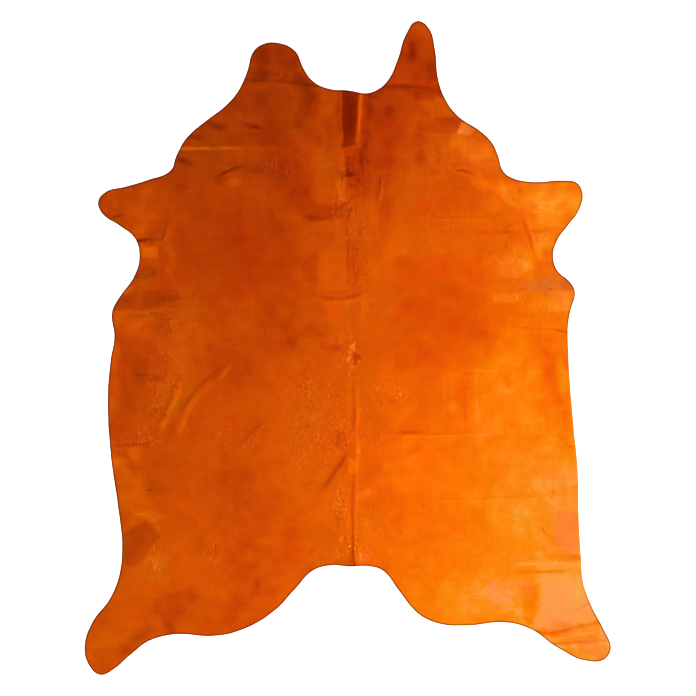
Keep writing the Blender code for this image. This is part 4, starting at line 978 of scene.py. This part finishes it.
def net_of(step, marks=()):
    """Points and triangles over the skin: the edge's points first, then those of the rows that aren't crowded."""
    kept = [tuple(point) for point in edge]
    cells = {}
    cell = CROWDED * step

    def crowd(x, y):
        return ((i, j) for i in (x - 1, x, x + 1) for j in (y - 1, y, y + 1))

    for point in kept:
        cells.setdefault((int(point[0] // cell), int(point[1] // cell)), []).append(point)
    for row, spacing in rows(step, marks):
        for x, y in row:
            _, i, gap = edge_tree.find((x, y, 0))
            if gap < MARGINS[0] * EDGE_CLEAR or (x - edge[i][0]) * inward[i][0] + (y - edge[i][1]) * inward[i][1] < 0:
                continue
            home = (int(x // cell), int(y // cell))
            if any(math.dist((x, y), other) < spacing for near in crowd(*home) for other in cells.get(near, ())):
                continue
            kept.append((x, y))
            cells.setdefault(home, []).append((x, y))
    outline = [list(range(len(edge)))]
    flat, _, triangles, *_ = delaunay_2d_cdt([Vector(p) for p in kept], [], outline, INSIDE_ONLY, NET_TOLERANCE)
    return np.array(flat), np.array(triangles)


rim = len(edge)
flesh_flat, flesh_faces = net_of(FLESH_STEP)
grain_flat, grain_faces = net_of(GRAIN_STEP, MARKS_AND_FOLD_SHADING)
flesh_lift = lift_of(flesh_flat)
grain_lift = lift_of(grain_flat)
lowest = flesh_lift.min()
round_in = grain_flat.copy()
round_in[:rim] += EDGE_ROUND * inward
under = np.column_stack([flesh_flat, flesh_lift - lowest])
over = np.column_stack([round_in, grain_lift - lowest + THICKNESS])
over[:rim, 2] -= EDGE_DROP
wall = under[:rim] + (0, 0, THICKNESS - EDGE_DROP - EDGE_ROUND)
first_over = len(under)
first_wall = first_over + len(over)
behind = np.arange(rim)
ahead = np.roll(behind, -1)
faces = [
    *flesh_faces[:, ::-1].tolist(),
    *(grain_faces + first_over).tolist(),
    *np.column_stack([behind, ahead, ahead + first_wall, behind + first_wall]).tolist(),
    *np.column_stack([behind + first_wall, ahead + first_wall, ahead + first_over, behind + first_over]).tolist(),
]
mesh = bpy.data.meshes.new("cowhide")
mesh.from_pydata(np.vstack([under, over, wall]).tolist(), [], faces)
for name, values in attributes_of(grain_flat).items():
    rest = np.full(len(mesh.vertices), values.mean())
    rest[:rim] = values[:rim]
    rest[first_over:first_wall] = values
    rest[first_wall:] = values[:rim]
    mesh.attributes.new(name, "FLOAT", "POINT").data.foreach_set("value", rest.astype(np.float32))
cut = np.full(len(mesh.vertices), RAW_EDGE)
from_edge = np.array([edge_tree.find((x, y, 0))[2] for x, y in grain_flat[rim:]])
cut[first_over + rim:first_wall] = 1 - np.minimum(1, from_edge / CUT_MARGIN - 1)
cut = np.clip(cut, 0, 1)
# The dark edge line is painted shade as well as the edge's own brown, so it is left off on the right, where the edge
# faces the light.
cut *= 1 - mound(np.array([v.co[:2] for v in mesh.vertices]), *EDGE_LIT_SIDE)
mesh.attributes.new("cut", "FLOAT", "POINT").data.foreach_set("value", cut.astype(np.float32))
cowhide = bpy.data.objects.new("cowhide", mesh)
bpy.context.scene.collection.objects.link(cowhide)


# The finish. The grain side is dyed a deep orange and has only a thin, nearly matt film on it. The dye is dark in the
# pits of the grain and pale on its pebbles, where the pale flecks are partly painted glints of light off their tops.
# It runs in faint streaks, and is a dark brown at the cut edge, a line that partly paints the shade along the edge
# and is left off on the side facing the light.


class Shade:
    """A socket in a material's tree. Sums written with it add the Math nodes."""

    def __init__(self, tree, socket=None):
        self.tree = tree
        self.socket = socket

    def node(self, kind, settings=(), out=0, **sockets):
        """Adds a node with its settings, then the values or links of its sockets. Socket names have _ for a space."""
        node = self.tree.nodes.new(kind)
        for name, value in dict(settings).items():
            if name == "stops":
                for place, colour in value[len(node.color_ramp.elements):]:
                    node.color_ramp.elements.new(place)
                for element, (place, colour) in zip(node.color_ramp.elements, value):
                    element.position = place
                    element.color = (*colour, 1)
            else:
                setattr(node, name, value)
        for name, value in sockets.items():
            key = int(name[1:]) if name[0] == "_" else name.replace("_", " ")
            if isinstance(value, Shade):
                self.tree.links.new(value.socket, node.inputs[key])
            else:
                node.inputs[key].default_value = value
        return Shade(self.tree, node.outputs[out])

    def maths(self, operation, a, b):
        return self.node("ShaderNodeMath", {"operation": operation}, _0=a, _1=b)

    def __add__(self, other):
        return self.maths("ADD", self, other)

    __radd__ = __add__

    def __sub__(self, other):
        return self.maths("SUBTRACT", self, other)

    def __mul__(self, other):
        return self.maths("MULTIPLY", self, other)

    __rmul__ = __mul__


def new_finish(name):
    """A material, its tree and its shader node."""
    material = bpy.data.materials.new(name)
    material.use_nodes = True
    return material, Shade(material.node_tree), material.node_tree.nodes["Principled BSDF"]


grain, paint, shader = new_finish("dyed_leather")
place = paint.node("ShaderNodeTexCoord", out="Object")


def layer(name):
    """One of the values laid down at each point of the skin."""
    return paint.node("ShaderNodeAttribute", {"attribute_name": name}, out="Fac")


def cloud(size, detail, roughness, distortion=0.0, at=place):
    """Noise from -1 to 1 whose largest blotches are about size across."""
    fac = paint.node("ShaderNodeTexNoise", {"noise_dimensions": "3D"}, Vector=at, Scale=1 / size, Detail=detail,
                     Roughness=roughness, Distortion=distortion)
    return 2 * fac - 1


def drawn_out(along_x, along_y):
    """Places squeezed so that noise there is drawn out along an axis by these factors."""
    squeeze = (1 / along_x, 1 / along_y, 1)
    return paint.node("ShaderNodeVectorMath", {"operation": "MULTIPLY"}, _0=place, _1=squeeze)


def step(value, first, last):
    """A soft step from 0 to 1 as the value goes from first to last."""
    smooth = {"interpolation_type": "SMOOTHSTEP"}
    return paint.node("ShaderNodeMapRange", smooth, Value=value, From_Min=first, From_Max=last)


BLOTCH_TONE = 0.09
ISLAND_TONE = 0.026
PORE_TONE = 0.034
SPECK_TONE = 0.20  # how much lighter the sparks and how much darker the pits of the pebbling are
COMBED_TONE = 0.11
LEVEL_STREAK_TONE = 0.032
UPRIGHT_STREAK_TONE = 0.026
DRIFT_WARMTH = 0.6
EDGE_DYE_AND_SHADE = 0.95
ROUGHNESS = 0.5
BLOTCH_ROUGHNESS = 0.10
PEBBLE_SIZE = 0.0022
GRIT_RELIEF = 0.6
blotches = cloud(0.085, 6, 0.66, 0.5)
drift = cloud(0.16, 4, 0.6)
islands = step(cloud(0.055, 3, 0.55, 0.4), -0.05, 0.05)
pores = cloud(0.006, 2, 0.6)
grit = cloud(0.0068, 2, 0.7, at=drawn_out(1, 1.8))
clumps = 0.25 + 0.9 * step(cloud(0.050, 3, 0.6, 0.5), -0.15, 0.25)
pebbled = clumps * (0.05 + layer("pebbling"))
# The pale flecks on the pebbled grain are partly painted glints: they lighten the tone, and are whitened with chalk
# below, as light off the pebbles' tops would.
pale_flecks_and_glints = pebbled * step(grit, 0.08, 0.36)
pits = pebbled * step(grit, -0.10, -0.38)
combed = COMBED_TONE * cloud(0.009, 3, 0.6, at=drawn_out(1, 10))
level_streaks = LEVEL_STREAK_TONE * cloud(0.010, 3, 0.6, at=drawn_out(16, 1))
upright_streaks = UPRIGHT_STREAK_TONE * cloud(0.010, 3, 0.6, at=drawn_out(1, 16))
spots = BLOTCH_TONE * blotches + ISLAND_TONE * islands + PORE_TONE * pores
surface = spots + level_streaks + upright_streaks
tone = layer("tone") + surface + SPECK_TONE * pale_flecks_and_glints - SPECK_TONE * pits + layer("streaks") * combed
warm = layer("warmth") + DRIFT_WARMTH * drift
# The chalk on the pale flecks is a painted glint; the rest of the fading is wear.
faded = layer("fading") + SPECK_TONE * pale_flecks_and_glints
dye = paint.node("ShaderNodeValToRGB", {"stops": (
    (0.03, (0.190, 0.012, 0.0003)),
    (0.15, (0.260, 0.022, 0.0008)),
    (0.39, (0.440, 0.045, 0.0008)),
    (0.63, (0.650, 0.088, 0.0008)),
    (0.75, (0.780, 0.116, 0.0008)),
    (0.87, (0.850, 0.176, 0.0010)),
    (0.95, (0.855, 0.235, 0.0050)),
    (1.00, (0.860, 0.290, 0.0400)),
)}, Fac=tone)
REDDER = (1.08, 0.78, 1.0, 1.0)
YELLOWER = (0.92, 1.22, 1.0, 1.0)
CHALK = (0.0, 0.030, 0.060, 1.0)
EDGE_BROWN = (0.050, 0.009, 0.001, 1.0)
SHEEN = (1.0, 0.25, 0.01, 1.0)  # the finish is a deep orange film, and so is the light that it throws back
cast = paint.node("ShaderNodeMix", {"data_type": "RGBA"}, out=2, _0=0.5 + 0.5 * warm, _6=REDDER, _7=YELLOWER)
dyed = paint.node("ShaderNodeMix", {"data_type": "RGBA", "blend_type": "MULTIPLY"}, out=2, _0=1.0, _6=dye, _7=cast)
worn = paint.node("ShaderNodeMix", {"data_type": "RGBA", "blend_type": "ADD"}, out=2, _0=faded, _6=dyed, _7=CHALK)
# The dark brown line at the cut edge: partly the edge's own colour, partly painted shade along the edge.
edge_dye_and_shade = EDGE_DYE_AND_SHADE * layer("cut")
colour = paint.node("ShaderNodeMix", {"data_type": "RGBA"}, out=2, _0=edge_dye_and_shade, _6=worn, _7=EDGE_BROWN)
pebbles = paint.node("ShaderNodeTexVoronoi", {"feature": "F1"}, out="Distance", Vector=place, Scale=1 / PEBBLE_SIZE)
relief = pebbles + pores + GRIT_RELIEF * grit
bump = paint.node("ShaderNodeBump", out="Normal", Strength=0.3, Distance=0.0005, Height=relief)
paint.tree.links.new(colour.socket, shader.inputs["Base Color"])
paint.tree.links.new((ROUGHNESS + BLOTCH_ROUGHNESS * blotches).socket, shader.inputs["Roughness"])
paint.tree.links.new(bump.socket, shader.inputs["Normal"])
shader.inputs["Specular IOR Level"].default_value = 0.05
shader.inputs["Specular Tint"].default_value = SHEEN

# The flesh side, underneath: the same leather with no film on it. It was shaved even with a bladed drum, which leaves
# a dull pale suede with a short nap.
flesh, paint, shader = new_finish("flesh_side")
place = paint.node("ShaderNodeTexCoord", out="Object")
nap = cloud(0.05, 5, 0.7, at=place)
suede = paint.node("ShaderNodeValToRGB", {"stops": (
    (0.2, (0.33, 0.13, 0.045)),
    (0.8, (0.46, 0.21, 0.085)),
)}, Fac=0.5 + 0.5 * nap)
paint.tree.links.new(suede.socket, shader.inputs["Base Color"])
fluff = cloud(0.003, 3, 0.7, at=place)
fibres = paint.node("ShaderNodeBump", out="Normal", Strength=0.4, Distance=0.0006, Height=fluff)
paint.tree.links.new(fibres.socket, shader.inputs["Normal"])
shader.inputs["Roughness"].default_value = 0.95
shader.inputs["Specular IOR Level"].default_value = 0.1

mesh.materials.append(grain)
mesh.materials.append(flesh)
for polygon in mesh.polygons[:len(flesh_faces)]:
    polygon.material_index = 1
mesh.shade_smooth()
mesh.set_sharp_from_angle(angle=math.radians(50))

# The floor, light and camera: white paper on a lit table top, one large softbox on the right at the tail's end, and
# a camera six metres straight above.
bpy.ops.mesh.primitive_plane_add(size=14, location=(0, 0, 0))
floor = bpy.context.object
floor.name = "floor"
paper, paint, shader = new_finish("studio_floor")
shader.inputs["Base Color"].default_value = (0.95, 0.95, 0.95, 1)
shader.inputs["Roughness"].default_value = 0.9
shader.inputs["Specular IOR Level"].default_value = 0.1
shader.inputs["Emission Color"].default_value = (1, 1, 1, 1)
shader.inputs["Emission Strength"].default_value = 0.9  # a lit table top, so that shadows stay faint
floor.data.materials.append(paper)

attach(cowhide, "root")
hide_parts("hide")

world = bpy.data.worlds.new("studio")
bpy.context.scene.world = world
world.use_nodes = True
world.node_tree.nodes["Background"].inputs["Color"].default_value = (1, 1, 1, 1)
world.node_tree.nodes["Background"].inputs["Strength"].default_value = 0.74

LIGHT_FROM = Vector((0.70, -0.70, 0.77))
sun = bpy.data.lights.new("softbox", "SUN")
sun.energy = 2.06
sun.angle = math.radians(18)
softbox = bpy.data.objects.new("softbox", sun)
softbox.rotation_euler = LIGHT_FROM.to_track_quat("Z", "Y").to_euler()
bpy.context.scene.collection.objects.link(softbox)

VIEW_WIDTH = 2.436
VIEW_MIDDLE = (0.0009, 0)
CAMERA_HEIGHT = 6.0
lens = bpy.data.cameras.new("camera")
lens.sensor_width = 36
lens.lens = lens.sensor_width * CAMERA_HEIGHT / VIEW_WIDTH
camera = bpy.data.objects.new("camera", lens)
camera.location = (*VIEW_MIDDLE, CAMERA_HEIGHT)
bpy.context.scene.collection.objects.link(camera)
bpy.context.scene.camera = camera
bpy.context.scene.view_settings.view_transform = "Standard"
